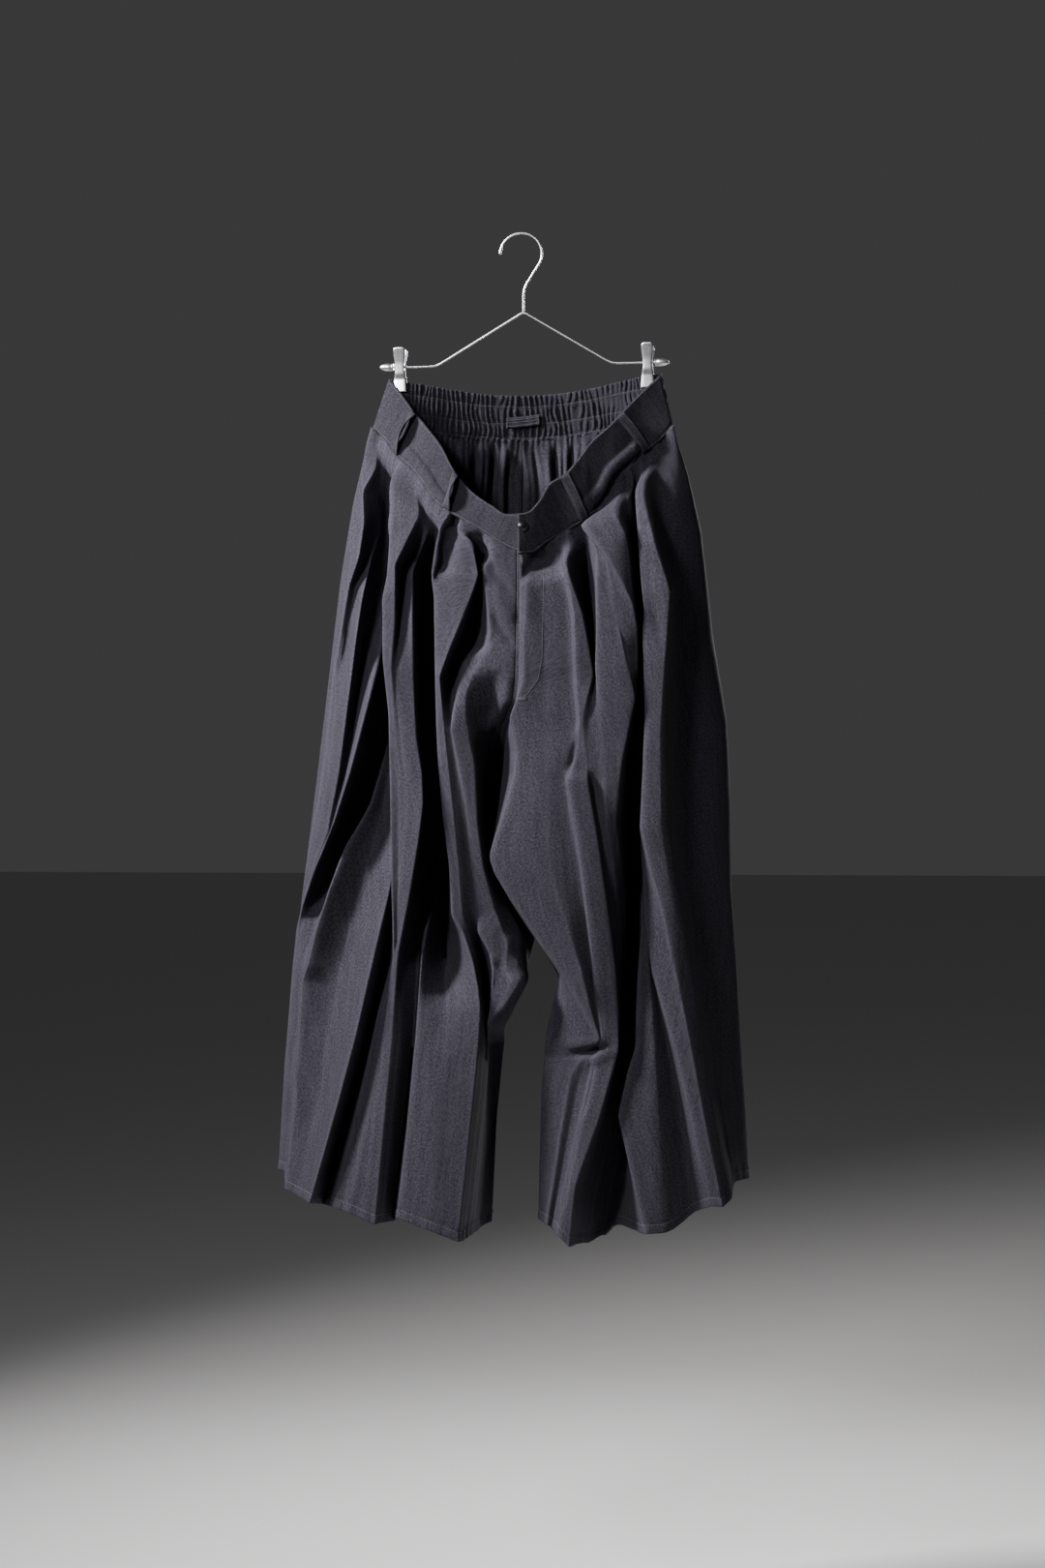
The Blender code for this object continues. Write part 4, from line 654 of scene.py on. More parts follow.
# Row, swell of the whole back and height of its folds, in millimetres
BACK_SWELL = (
    (520, 6, 1.0), (620, 20, 5.0), (740, 34, 11.0), (870, 44, 15.0), (1040, 44, 17.0),
    (1250, 42, 18.0),
)
BACK_FOLDS = 5.5                # soft folds across each back
BACK_EASE = 0.55                # beyond this share its cloth follows the centre seam and inseam
HANG_ROW = 545                  # from here down the middle of a back hangs straight
BUNCHES = 7.5
BUNCH_HEIGHT = 7.0              # in mm


def back_waves(nominal, u, seed):
    """How far each point of a back stands out in folds, and in gathers."""
    down = (nominal[:, None] - FIRST_ROW) / 100

    def uneven(cells_down, cells_across, k):
        return soft_noise(down * cells_down, u * cells_across, seed + k)

    bulge, deep = (height[:, None] * MM for height in columns_at(BACK_SWELL, nominal))
    settle = ease(np.minimum(u, 1 - u) / 0.12)
    drift = 0.10 * uneven(0.25, 4, 0) * ease(down / 2)
    wave = (deep * np.sin(2 * pi * BACK_FOLDS * (u + 0.12 * drift) + 0.6)
            * (1 + 0.35 * uneven(0.15, 7, 1)))
    wave += 0.14 * deep * np.sin(2 * pi * BACK_FOLDS * 2.7 * u + 3 * uneven(0.3, 3, 2))
    small = (1.3 * MM * np.exp(-((nominal - FIRST_ROW) / 8))
             + 0.15 * MM * np.exp(-((nominal - FIRST_ROW) / 120)))
    reach = 0.55 + 0.45 * uneven(0.7, GATHERS, 3)
    gather = small[:, None] * reach * np.sin(pi * (GATHERS * u + 0.6 * uneven(0.5, 20, 4)))
    bunch = (np.sin(2 * pi * (BUNCHES * u + 0.35 * uneven(0.5, 6, 5)))
             * (0.7 + 0.5 * uneven(0.2, 9, 6)))
    bunch = bunch + 0.35 * np.sin(2 * pi * 17.3 * u + 2 * uneven(0.6, 11, 7))
    held = ease((nominal - 522) / 26) * np.exp(-((nominal - 560) / 190).clip(0))
    gather = gather + bunch * settle * BUNCH_HEIGHT * MM * held[:, None]
    return bulge * np.sin(pi * u) ** 0.7 + settle * wave + gather, gather


print("gathers:", GATHERS, "broad folds on each back:", BACK_FOLDS)

# %% [markdown]
# ## Laying the backs
# A back starts at the elastic in the slope of the casing, and within a few rows it goes over to
# its own hang. Its two edges follow the fronts' edges, so the panels meet all the way down.

# %% Laying out the backs
def back_grid(folds, band, right, seed):
    """The points of a back, from its side seam to the centre seam and the inseam."""
    nominal = np.maximum(FINE_ROWS, FIRST_ROW)
    side, inseam = (folds[-1], folds[0]) if right else (folds[0], folds[-1])
    side_run = place(*fold_run(*seat_on(band, side[1]), side[2], nominal).T)
    below = place(*fold_run(*seat_on(BAND_LEFT, inseam[1]), inseam[2], nominal).T)
    above = place(*fold_run(BACK_CENTRE[0], (0, 0, 0.15), BACK_CENTRE[1:], nominal).T)
    inner_run = np.where((nominal <= CROTCH_ROW)[:, None], above, below)
    to_side = seam_inward("side_seam", nominal, right, 1)
    to_inner = seam_inward("centre_seam", nominal, right, 1)
    outer = side_run + to_side * SEAM_STAND * MM
    inner = inner_run + to_inner * SEAM_STAND * MM
    outer_land, inner_land = outer + to_side * LAND, inner + to_inner * LAND
    u = np.linspace(0, 1, BACK_COLUMNS - 4)
    share = ((nominal - HANG_ROW) / (LAST_ROW - HANG_ROW)).clip(0, 1)[:, None]
    hang = inner[np.argmin(np.abs(nominal - HANG_ROW))] * (1 - share) + inner[-1] * share
    follow = ease((u - BACK_EASE) / (1 - BACK_EASE))[None, :, None]
    body = outer_land[:, None] * (1 - u)[None, :, None] + hang[:, None] * u[None, :, None]
    body = body + (inner_land - hang)[:, None] * follow
    standing, gather = back_waves(nominal, u, seed)
    body = body + standing[..., None] * BACKWARD
    s = BAND_MARGIN + (1 - 2 * BAND_MARGIN) * (1 - u / 2 if right else u / 2)
    high, low = band_edges(BAND_BACK, s)
    hang_down = (low - high) / np.linalg.norm(low - high, axis=1, keepdims=True)
    drop = (nominal - FIRST_ROW) * SQUARE - 2.0 * MM
    from_band = low[None] + hang_down[None] * drop[:, None, None] + gather[..., None] * BACKWARD
    leave = ease((nominal - 524) / 40)[:, None, None]
    body = from_band * (1 - leave) + body * leave
    first = leave[:, 0]
    edges = []
    sideways = -ALONG if right else ALONG
    for run, near, step in ((outer, 0, -1.0), (outer_land, 0, -0.5),
                            (inner_land, -1, 0.5), (inner, -1, 1.0)):
        start = from_band[:, near] + step * MM * sideways
        edges.append((start * (1 - first) + run * first)[:, None])
    grid = np.concatenate([edges[0], edges[1], body, edges[2], edges[3]], axis=1)
    return {"points": grid[:, ::-1] if right else grid, "pressed": np.zeros(grid.shape[:2])}


back_left = back_grid(FOLDS_LEFT, BAND_LEFT, False, 31)
back_right = back_grid(FOLDS_RIGHT, BAND_RIGHT, True, 47)
for back in (back_left, back_right):
    across, down = lengths_of(back["points"])
    print("back", back["points"].shape, "width", across[[5, 60, 120, -1], -1].round(3))

# %% [markdown]
# ## Building node trees
# The cloth, the metal and the stitching each have a node group. With these helpers each group
# reads as a short list of what it works out.

# %% Helpers for node trees
def feed(tree, node, feeds):
    """Give sockets plain values, or link other nodes' outputs to them."""
    for socket, value in feeds.items():
        if isinstance(value, bpy.types.NodeSocket):
            tree.links.new(value, node.inputs[socket])
        else:
            node.inputs[socket].default_value = value


def add_node(tree, kind, at, feeds=None, **settings):
    """A new node, with its settings made before its sockets are fed."""
    made = tree.nodes.new(kind)
    made.location = at
    for name, value in settings.items():
        setattr(made, name, value)
    feed(tree, made, feeds or {})
    return made


def sums(tree, operation, at, *feeds, **settings):
    """The output of a Math node that is fed in order."""
    return add_node(tree, "ShaderNodeMath", at, dict(enumerate(feeds)), operation=operation,
                    **settings).outputs[0]


def new_group(name, kind, inputs, outputs):
    """An empty node group with these sockets, and the outputs of its input node."""
    tree = bpy.data.node_groups.new(name, kind)
    for way, sockets in (("INPUT", inputs), ("OUTPUT", outputs)):
        for socket, holds in sockets.items():
            tree.interface.new_socket(socket, in_out=way, socket_type="NodeSocket" + holds)
    return tree, add_node(tree, "NodeGroupInput", (-1200, 0)).outputs


def finished(name, group, values, bump, depth, plain):
    """A material whose colour, roughness and relief come from a group."""
    material = bpy.data.materials.new(name)
    material.use_nodes = True
    tree = material.node_tree
    made = add_node(tree, "ShaderNodeGroup", (-500, 200), values, node_tree=group).outputs
    relief = add_node(tree, "ShaderNodeBump", (-250, -100),
                      {"Strength": bump, "Distance": depth, "Height": made["Height"]})
    feed(tree, tree.nodes["Principled BSDF"], {
        "Base Color": made["Colour"], "Roughness": made["Roughness"],
        "Normal": relief.outputs["Normal"], **plain})
    return material


SURFACE = {"Colour": "Color", "Roughness": "Float", "Height": "Float"}
print("a surface group gives", ", ".join(SURFACE))

# %% [markdown]
# ## A cloth that shows its weave
# The cloth is a charcoal brushed twill. Close to, there are slanting ribs of yarn under a short
# nap; from a few steps away, only a fine mottled grain with a soft bloom at grazing angles. The
# ribs follow the piece's own flat map in metres, so they turn with every fold as woven yarn does.
# An image of cloth would be quicker, but it would show its pixels and its repeat.

# %% The twill group
RIB_SLANT = 0.62                # how far the ribs lean across the cloth


def twill_group():
    """Colour, roughness and height of brushed twill, from the flat map, with a painted highlight
    on pressed edges.
    """
    tree, given = new_group("Brushed twill", "ShaderNodeTree", {
        "Yarn colour": "Color", "Nap colour": "Color", "Ribs per metre": "Float",
        "Mottle": "Float", "Painted highlight on pressed edges": "Float", "Rib depth": "Float"}, SURFACE)
    flat = add_node(tree, "ShaderNodeUVMap", (-1200, -300), uv_map="flat").outputs[0]

    def mottling(at, where, scale, detail, feeds):
        sockets = {"Vector": where, "Scale": scale, "Detail": detail, **feeds}
        return add_node(tree, "ShaderNodeTexNoise", at, sockets, noise_dimensions="2D").outputs[0]

    def centred(at, value, reach):
        sockets = {"Value": value, "From Min": 0.3, "From Max": 0.7,
                   "To Min": -reach, "To Max": reach}
        return add_node(tree, "ShaderNodeMapRange", at, sockets).outputs[0]

    split = add_node(tree, "ShaderNodeSeparateXYZ", (-1000, -300), {0: flat}).outputs
    slant = sums(tree, "MULTIPLY_ADD", (-820, -260), split[1], RIB_SLANT, split[0])
    turns = sums(tree, "MULTIPLY", (-640, -260), slant, given["Ribs per metre"])
    fibres = mottling((-820, -520), flat, 1500, 2, {})
    wander = sums(tree, "MULTIPLY_ADD", (-460, -260), fibres, 0.5, turns)
    angle = sums(tree, "MULTIPLY", (-300, -260), wander, 2 * pi)
    ribs = sums(tree, "SINE", (-140, -260), angle)
    grain = mottling((-820, 200), flat, 430, 4, {"Roughness": 0.75})
    hang = add_node(tree, "ShaderNodeMapping", (-1000, 440),
                    {"Vector": flat, "Scale": (1.0, 0.12, 1.0)}).outputs[0]
    cloud = mottling((-820, 440), hang, 190, 5, {"Roughness": 0.6})
    mottled = centred((-600, 200), grain, 0.5)
    clouded = centred((-600, 440), cloud, 0.11)
    both = sums(tree, "MULTIPLY_ADD", (-380, 240), mottled, given["Mottle"], clouded)
    ribbed = sums(tree, "MULTIPLY_ADD", (-200, 160), ribs, 0.07, both)
    pressed = add_node(tree, "ShaderNodeAttribute", (-600, 700), attribute_name="pressed")
    # painted highlight: the colour is made lighter along the pressed edges, where folds catch the
    # light
    painted_edge_highlight = sums(tree, "MULTIPLY_ADD", (-200, 420), pressed.outputs["Fac"],
                 given["Painted highlight on pressed edges"], ribbed)
    amount = sums(tree, "ADD", (-20, 300), painted_edge_highlight, 0.45, use_clamp=True)
    mixed = add_node(tree, "ShaderNodeMix", (180, 300), {
        0: amount, 6: given["Yarn colour"], 7: given["Nap colour"]}, data_type="RGBA")
    rough = add_node(tree, "ShaderNodeMapRange", (180, 60), {
        "Value": amount, "To Min": 0.94, "To Max": 0.78})
    tall = sums(tree, "MULTIPLY", (20, -260), ribs, given["Rib depth"])
    height = sums(tree, "ADD", (200, -260), tall, grain)
    add_node(tree, "NodeGroupOutput", (420, 100), {
        "Colour": mixed.outputs[2], "Roughness": rough.outputs[0], "Height": height})
    return tree


TWILL = twill_group()
print("nodes in the twill:", len(TWILL.nodes))

# %% [markdown]
# ## Three cloths from one weave
# The legs, the bands and the thread differ in yarn and nap, and the thread in colour. The bands'
# twill is made darker than the legs' as painted shade. Each places the same group, with its own
# values.

# %% The cloth materials
def cloth_material(name, yarn, nap, ribs, mottle, painted_edge_highlight, rib_depth, bump, sheen):
    """A cloth of its own colours and yarn, with a soft sheen and a painted highlight on pressed
    edges.
    """
    return finished(name, TWILL, {
        "Yarn colour": (*yarn, 1), "Nap colour": (*nap, 1), "Ribs per metre": ribs,
        "Mottle": mottle, "Painted highlight on pressed edges": painted_edge_highlight, "Rib depth": rib_depth,
    }, bump, 0.0004, {
        "Specular IOR Level": 0.10, "Sheen Weight": sheen, "Sheen Roughness": 0.45,
        "Sheen Tint": (0.82, 0.80, 0.95, 1),
    })


# the value after the mottle in each cloth is its painted highlight on pressed edges
TWILL_CLOTH = cloth_material("charcoal brushed twill", (0.0075, 0.0070, 0.0100),
                             (0.042, 0.0395, 0.053), 950, 0.85, 0.30, 0.5, 0.6, 0.015)
# painted shade: the band twill's colours are darker than the leg twill's
BAND_TWILL_DARKENED_AS_SHADE = cloth_material("charcoal band twill darkened as painted shade", (0.0062, 0.0058, 0.0080),
                            (0.033, 0.0305, 0.041), 1100, 0.80, 0.30, 0.5, 0.6, 0.012)
THREAD = cloth_material("charcoal sewing thread", (0.060, 0.057, 0.068),
                        (0.15, 0.145, 0.165), 2500, 0.4, 0.0, 0.8, 0.6, 0.15)
print("cloth materials:", TWILL_CLOTH.name, BAND_TWILL_DARKENED_AS_SHADE.name, THREAD.name)

# %% [markdown]
# ## The thin shell
# A single layer of faces would look like paper at the hem, and the Solidify modifier would treat
# every edge alike. Here each point is moved out and in along its own normal by half the cloth's
# thickness, which is more at a turned-up hem and less at a rounded edge.

# %% Making a shell from rows of points
def add_piece(name, mesh):
    """A mesh as an object of the scene, at the origin."""
    piece = bpy.data.objects.new(name, mesh)
    bpy.context.scene.collection.objects.link(piece)
    return piece


def half_thickness(grid, half, rim):
    """Half the thickness at each point, brought down to a rounded edge within a rim this wide."""
    across, down = lengths_of(grid)
    to_edge = np.minimum(np.minimum(down, down[-1:] - down),
                         np.minimum(across, across[:, -1:] - across))
    t = np.clip(to_edge / rim, 0, 1)
    return half * np.sqrt(np.clip(1 - (1 - t) ** 2, 0.03, 1))


def shell_faces(rows, columns):
    """The faces of both sides of a grid, and of the rim between them."""
    index = np.arange(rows * columns).reshape(rows, columns)
    outer = np.stack([index[:-1, :-1], index[1:, :-1], index[1:, 1:], index[:-1, 1:]], axis=-1)
    outer = outer.reshape(-1, 4)
    inner = outer[:, ::-1] + rows * columns
    ring = np.concatenate([index[0, :], index[1:, -1], index[-1, -2::-1], index[-2:0:-1, 0]])
    after = np.roll(ring, -1)
    rim = np.stack([ring, after, after + rows * columns, ring + rows * columns], axis=-1)
    return np.concatenate([outer, inner, rim])


def shell(name, grid, half, material, pressed=None, normals=None):
    """A closed thin piece on a grid of points, its front face towards its outward normals."""
    rows, columns = grid.shape[:2]
    normal = normals_of(grid) if normals is None else normals
    half = np.broadcast_to(half, (rows, columns))[..., None]
    points = np.concatenate([(grid + normal * half).reshape(-1, 3),
                             (grid - normal * half).reshape(-1, 3)])
    faces = shell_faces(rows, columns)
    mesh = bpy.data.meshes.new(name)
    mesh.vertices.add(len(points))
    mesh.vertices.foreach_set("co", points.ravel())
    mesh.loops.add(faces.size)
    mesh.loops.foreach_set("vertex_index", faces.ravel())
    mesh.polygons.add(len(faces))
    mesh.polygons.foreach_set("loop_start", np.arange(0, faces.size, 4))
    mesh.update(calc_edges=True)
    mesh.validate()
    mesh.polygons.foreach_set("use_smooth", np.ones(len(faces), bool))
    across, down = lengths_of(grid)
    middle = across[:, columns // 2:columns // 2 + 1]
    flat = np.stack([across - middle + middle.mean(), down], axis=-1).reshape(-1, 2)
    flat = np.concatenate([flat, flat])
    mesh.uv_layers.new(name="flat").data.foreach_set("uv", flat[faces.ravel()].ravel())
    near = np.zeros((rows, columns)) if pressed is None else pressed
    # how pressed each point is, which the twill paints as a highlight
    layer = mesh.attributes.new("pressed", "FLOAT", "POINT")
    layer.data.foreach_set("value", np.concatenate([near.ravel(), near.ravel() * 0]))
    mesh.materials.append(material)
    return add_piece(name, mesh)


print("a shell of 3 by 4 points has", len(shell_faces(3, 4)), "faces")

# %% [markdown]
# ## Creases one by one
# Where the cloth is pinched, sat on or turned, it keeps short soft troughs and ridges. They are
# drawn along paths on the sheet, and only the cloth between two named edges takes them, so that
# the layers behind stay as they are.

# %% Drawing a crease
CRISP = 2.0                     # a higher power would give a crease a flat bottom and steep sides
CREASE_ENDS = 0.3               # share of a crease's length over which each of its ends fades


def crease(front, path, width, height, between):
    """Push the cloth out (or in, below 0) along a path, by a height in mm, between two edges."""
    points, normal = front["points"], normals_of(front["points"])
    row, column = sheet_place(points)
    first, last = (front["names"].index(name) for name in between)
    inside = (front["number"] >= first) & (front["number"] <= last)
    path = np.array(path, float)
    legs = np.linalg.norm(np.diff(path, axis=0), axis=1)
    total, gone = legs.sum(), 0.0
    best = np.full(row.shape, 1e9)
    along = np.zeros(row.shape)
    for a, b, leg in zip(path[:-1], path[1:], legs):
        t = ((row - a[0]) * (b[0] - a[0]) + (column - a[1]) * (b[1] - a[1])) / leg ** 2
        t = np.clip(t, 0, 1)
        away = np.hypot(row - a[0] - t * (b[0] - a[0]), column - a[1] - t * (b[1] - a[1]))
        along = np.where(away < best, (gone + t * leg) / total, along)
        best = np.minimum(best, away)
        gone += leg
    taper = ease(np.minimum(along, 1 - along) / CREASE_ENDS)
    amount = height * MM * taper * np.exp(-(best / width) ** CRISP) * inside[None, :]
    front["points"] = points + normal * amount[..., None]


print("a crease fades over", CREASE_ENDS, "of its length at each end")

# %% [markdown]
# ## Where the left front is creased
# Each crease is a path of rows and columns, its width in squares, its height in millimetres, and
# the two edges it lies between.

# %% The left front's creases
CREASES_LEFT = (
    (((498, 434), (521, 408), (539, 404)), 4, -1.6, ("third_edge", "third_rim")),
    (((545, 470), (590, 478), (650, 470)), 7, 1.6, ("fourth_ridge", "inner_rim")),
    (((577, 502), (598, 516), (617, 534)), 5, -3.4, ("inner_edge", "centre_seam")),
    (((630, 507), (652, 519), (674, 535)), 5, -3.6, ("inner_edge", "centre_seam")),
    (((602, 507), (625, 518), (646, 533)), 7, 2.2, ("inner_edge", "centre_seam")),
    (((690, 494), (720, 490), (755, 489)), 8, -2.5, ("inner_strip", "inner_swell")),
    (((755, 482), (757, 498), (752, 515)), 6, 1.8, ("inner_edge", "centre_seam")),
    (((850, 395), (960, 362), (1180, 325)), 9, -1.0, ("second_edge", "second_ridge")),
    (((900, 372), (1020, 352), (1120, 338)), 8, 1.2, ("second_edge", "second_ridge")),
    (((1020, 325), (1110, 316), (1200, 307)), 7, -1.2, ("first_floor", "second_ridge")),
    (((860, 345), (1000, 305), (1180, 298)), 6, 1.0, ("outer_rim", "first_ridge")),
    (((620, 358), (720, 352), (830, 340)), 6, 1.2, ("outer_rim", "outer_cone")),
    (((640, 395), (740, 385), (830, 362)), 7, 1.5, ("outer_tuck", "first_hollow")),
    (((620, 418), (700, 415), (800, 421)), 5, 1.4, ("third_dip", "third_ridge")),
    (((700, 452), (800, 462), (900, 472)), 6, 1.0, ("fourth_ridge", "inner_rim")),
    (((1060, 470), (1150, 462), (1240, 455)), 9, -1.0, ("fourth_hollow", "inner_rim")),
    (((1080, 430), (1180, 428), (1250, 420)), 8, -0.9, ("fourth_edge", "fourth_ridge")),
    (((990, 510), (1004, 520), (1010, 534)), 4, -3.0, ("inner_edge", "centre_seam")),
    (((940, 520), (985, 520), (1040, 508)), 7, -2.0, ("inner_edge", "inner_swell")),
    (((514, 469), (548, 465), (574, 457), (606, 449)), 9, -17.0, ("fourth_ridge", "inner_rim")),
    (((540, 476), (556, 482), (572, 490)), 4, 2.5, ("fourth_ridge", "inner_hollow")),
    (((500, 408), (520, 410), (560, 402)), 5, 2.0, ("third_edge", "third_rim")),
    (((546, 492), (564, 497), (584, 500)), 7, -10.0, ("inner_hollow", "inner_swell")),
    (((1112, 304), (1150, 301), (1216, 297)), 5, -1.8, ("first_floor", "second_edge")),
    (((1000, 350), (1100, 330), (1215, 312)), 3, -0.9, ("second_edge", "second_ridge")),
    (((930, 385), (1010, 366), (1090, 350)), 3, 0.9, ("second_edge", "second_ridge")),
    (((720, 425), (780, 428), (850, 430)), 4, 1.2, ("third_dip", "third_ridge")),
)
for path, width, height, between in CREASES_LEFT:
    crease(left, path, width, height, between)
print("creases drawn on the left front:", len(CREASES_LEFT))

# %% [markdown]
# ## Where the right front is creased
# The right front has the caught pleats, and the strain below the closure.

# %% The right front's creases
CREASES_RIGHT = (
    (((590, 570), (660, 575), (760, 576)), 8, 1.2, ("belly", "first_dip")),
    (((776, 603), (790, 592), (801, 582)), 5, -2.2, ("belly", "strip_left")),
    (((1080, 586), (1079, 604), (1074, 620)), 4, 3.0, ("inner_edge", "strip_left")),
    (((1089, 578), (1089, 600), (1085, 618), (1080, 636)), 3.4, -6.5,
     ("inner_edge", "strip_right")),
    (((1040, 600), (1055, 610), (1068, 616)), 4, 1.6, ("belly", "strip_left")),
    (((570, 664), (625, 676), (681, 686)), 6, -1.6, ("fourth_ridge", "fourth_turn")),
    (((600, 640), (650, 646), (720, 640)), 6, 1.2, ("second_edge", "second_crest")),
    (((760, 560), (850, 552), (930, 560)), 12, 1.0, ("crotch_fold", "first_dip")),
    (((990, 590), (1010, 612), (1030, 628)), 5, 1.2, ("belly", "strip_right")),
    (((1209, 648), (1240, 636), (1268, 624)), 5, -2.2, ("second_edge", "third_edge")),
    (((1140, 600), (1200, 588), (1260, 580)), 7, -1.2, ("strip_left", "second_hollow")),
    (((1100, 570), (1180, 566), (1250, 563)), 5, -1.0, ("inner_edge", "belly")),
    (((1078, 729), (1150, 743), (1222, 758)), 6, -1.6, ("fourth_turn", "side_dip")),
    (((940, 731), (1112, 761), (1215, 773)), 6, 1.5, ("side_dip", "side_seam")),
    (((700, 672), (820, 669), (950, 676)), 6, 1.2, ("fourth_ridge", "fourth_turn")),
    (((1010, 690), (1120, 700), (1230, 705)), 9, -1.2, ("third_swell", "fourth_edge")),
    (((1100, 672), (1180, 678), (1260, 682)), 8, 1.2, ("third_edge", "third_dip")),
    (((578, 541), (578, 556), (572, 576)), 7, -4.0, ("inner_edge", "first_dip")),
    (((592, 538), (592, 556), (586, 574)), 3, 1.5, ("centre_seam", "first_dip")),
    (((1099, 604), (1092, 620), (1083, 638)), 4, 4.5, ("crotch_fold", "strip_right")),
    (((1092, 615), (1120, 610), (1160, 601)), 3, -2.5, ("belly", "strip_right")),
    (((1040, 566), (1080, 568), (1130, 566)), 4, 1.2, ("inner_edge", "belly")),
    (((760, 600), (772, 594), (795, 590)), 4, -1.5, ("first_dip", "strip_right")),
    (((570, 663), (620, 673), (682, 687)), 3, -3.0, ("fourth_ridge", "fourth_turn")),
    (((640, 545), (700, 548), (716, 544)), 5, -1.0, ("crotch_fold", "belly")),
)
for path, width, height, between in CREASES_RIGHT:
    crease(right, path, width, height, between)
print("creases drawn on the right front:", len(CREASES_RIGHT))

# %% [markdown]
# ## Small waves, puckers and the hem
# Between its creases the cloth still isn't flat. It waves a little along the hang, puckers just
# under the band, and is drawn in along the stitched hem. Noise that is long down the cloth and
# short across it gives this.

# %% Uneven cloth
PANELS = {"front_left": left, "front_right": right,
          "back_left": back_left, "back_right": back_right}
ROWS_DOWN = FINE_ROWS[:, None]
CALM_EDGE = 0.012               # the waves die away this near to a seam, in metres
for panel, seed in zip(PANELS.values(), (61, 67, 71, 73)):
    grid = panel["points"]
    across, down = lengths_of(grid)
    calm = (ease((down - 0.03) / 0.10) * ease((across[:, -1:] - across) / CALM_EDGE)
            * ease(across / CALM_EDGE))
    wave = (0.40 * soft_noise(across / 0.030, down / 0.25, seed)
            + 0.18 * soft_noise(across / 0.012, down / 0.11, seed + 1))
    puckers = (soft_noise(across / 0.006, down / 0.02, seed + 2)
               * np.exp(-(down / 0.018) ** 2) * 0.8)
    hem = soft_noise(across / 0.008, down * 0, seed + 3) * ease((ROWS_DOWN - 1230) / 9) * 0.9
    hem = hem - 0.8 * np.exp(-((ROWS_DOWN - DITCH_ROW) / 1.6) ** 2)
    moved = (wave * calm + puckers + hem) * MM
    panel["points"] = grid + normals_of(grid) * moved[..., None]
    print("moved by up to", (np.abs(moved).max() / MM).round(2), "mm")

# %% [markdown]
# ## Leg panels as pieces
# The hem is turned up and stitched a finger's width above its edge, so the shell is thicker
# there. At its side edges each panel thins to a rounded edge that tucks against its neighbour.

# %% Making the four leg panels
CLOTH_HALF = 0.55               # half the cloth's thickness, in mm
TURNED_UP_HALF = 0.40           # and what the turned-up hem adds to it


def leg_half(grid):
    """Half the thickness of a leg panel at each of its points."""
    across = running_length(grid, 1)
    edge = np.clip(np.minimum(across, across[:, -1:] - across) / (1.5 * MM), 0, 1)
    turned_up = ease((ROWS_DOWN - TURNED_UP_ROW) / 1.5)
    rounded = np.sqrt(np.clip(1 - (1 - edge) ** 2, 0.1, 1))
    return (CLOTH_HALF + TURNED_UP_HALF * turned_up) * MM * rounded


LEGS = {}
for name, panel in PANELS.items():
    grid = panel["points"]
    outward = normals_of(grid)
    if name.startswith("back"):
        outward = -outward
        grid, outward = grid[:, ::-1], outward[:, ::-1]
    half = leg_half(grid)
    LEGS[name] = shell("cloth_" + name, grid, half, TWILL_CLOTH, panel["pressed"], outward)
    panel["outer"] = grid + outward * half[..., None]
    panel["outward"] = outward
    print(name, len(LEGS[name].data.polygons) * 2, "triangles")

# %% [markdown]
# ## The waistbands
# Each front band is a folded strip with stiffening inside, so it is the thickest cloth here and
# its edges are round. It ripples a little where the pleats pull at its lower edge, and that edge
# is rolled out between the loops.

# %% The two front bands
BAND_HALF = 1.25 * MM
BAND_ROWS = 40


def band_surface(band, s, level):
    """Points on the middle of a band; level runs from 0 at its top edge to 1 at its lower edge."""
    top, low = band_edges(band, s)
    return top + (low - top) * level[..., None]


def band_grid(band, columns, rolled, seed):
    """Rows of points over a front band, rippled, and rolled out by this many mm."""
    s, level = np.linspace(BAND_MARGIN, 1, columns), np.linspace(0, 1, BAND_ROWS)[:, None]
    grid = band_surface(band, s, level)
    turned_round = grid[0, -1] @ ALONG < grid[0, 0] @ ALONG
    if turned_round:
        grid = grid[:, ::-1]
    across, down = lengths_of(grid)
    ripple = 0.8 * soft_noise(across / 0.028, down / 0.05, seed) * (0.4 + level)
    ripple += 0.25 * soft_noise(across / 0.007, down / 0.016, seed + 1)
    roll = rolled * np.exp(-((level - 0.78) / 0.12) ** 4)
    roll = roll * ease((s - 0.20) / 0.06) * ease((0.60 - s) / 0.06)
    ripple = ripple + (roll[:, ::-1] if turned_round else roll)
    valley = -0.5 * np.exp(-((down - down[-1:] + 4.5 * MM) / (1.2 * MM)) ** 2)
    valley = valley - 0.25 * np.exp(-((down - 2.2 * MM) / (0.8 * MM)) ** 2)
    return grid + normals_of(grid) * ((ripple + valley) * MM)[..., None]


bands = {"left": band_grid(BAND_LEFT, 150, 2.4, 81),
         "right": band_grid(BAND_RIGHT, 130, 4.8, 83)}
SMALL = {}
for side_name, grid in bands.items():
    half = half_thickness(grid, BAND_HALF, 1.4 * MM)
    SMALL["waistband_" + side_name] = shell("cloth_waistband_" + side_name, grid, half, BAND_TWILL_DARKENED_AS_SHADE)
    print("band", side_name, running_length(grid, 1)[0, -1].round(3), "m along its top")

# %% [markdown]
# ## The elastic
# Behind, the waist is a casing with elastic inside, sewn down in rows. The elastic draws it into
# small gathers: deepest between the rows of stitching and held flat along them, and the free top
# edge ruffles most.

# %% The gathered casing
ELASTIC_ROWS = (0.25, 0.63, 0.94)
PUFF_HALF = 0.8 * MM
GATHER_HEIGHT, RUFFLE = 1.7, 0.8        # in mm


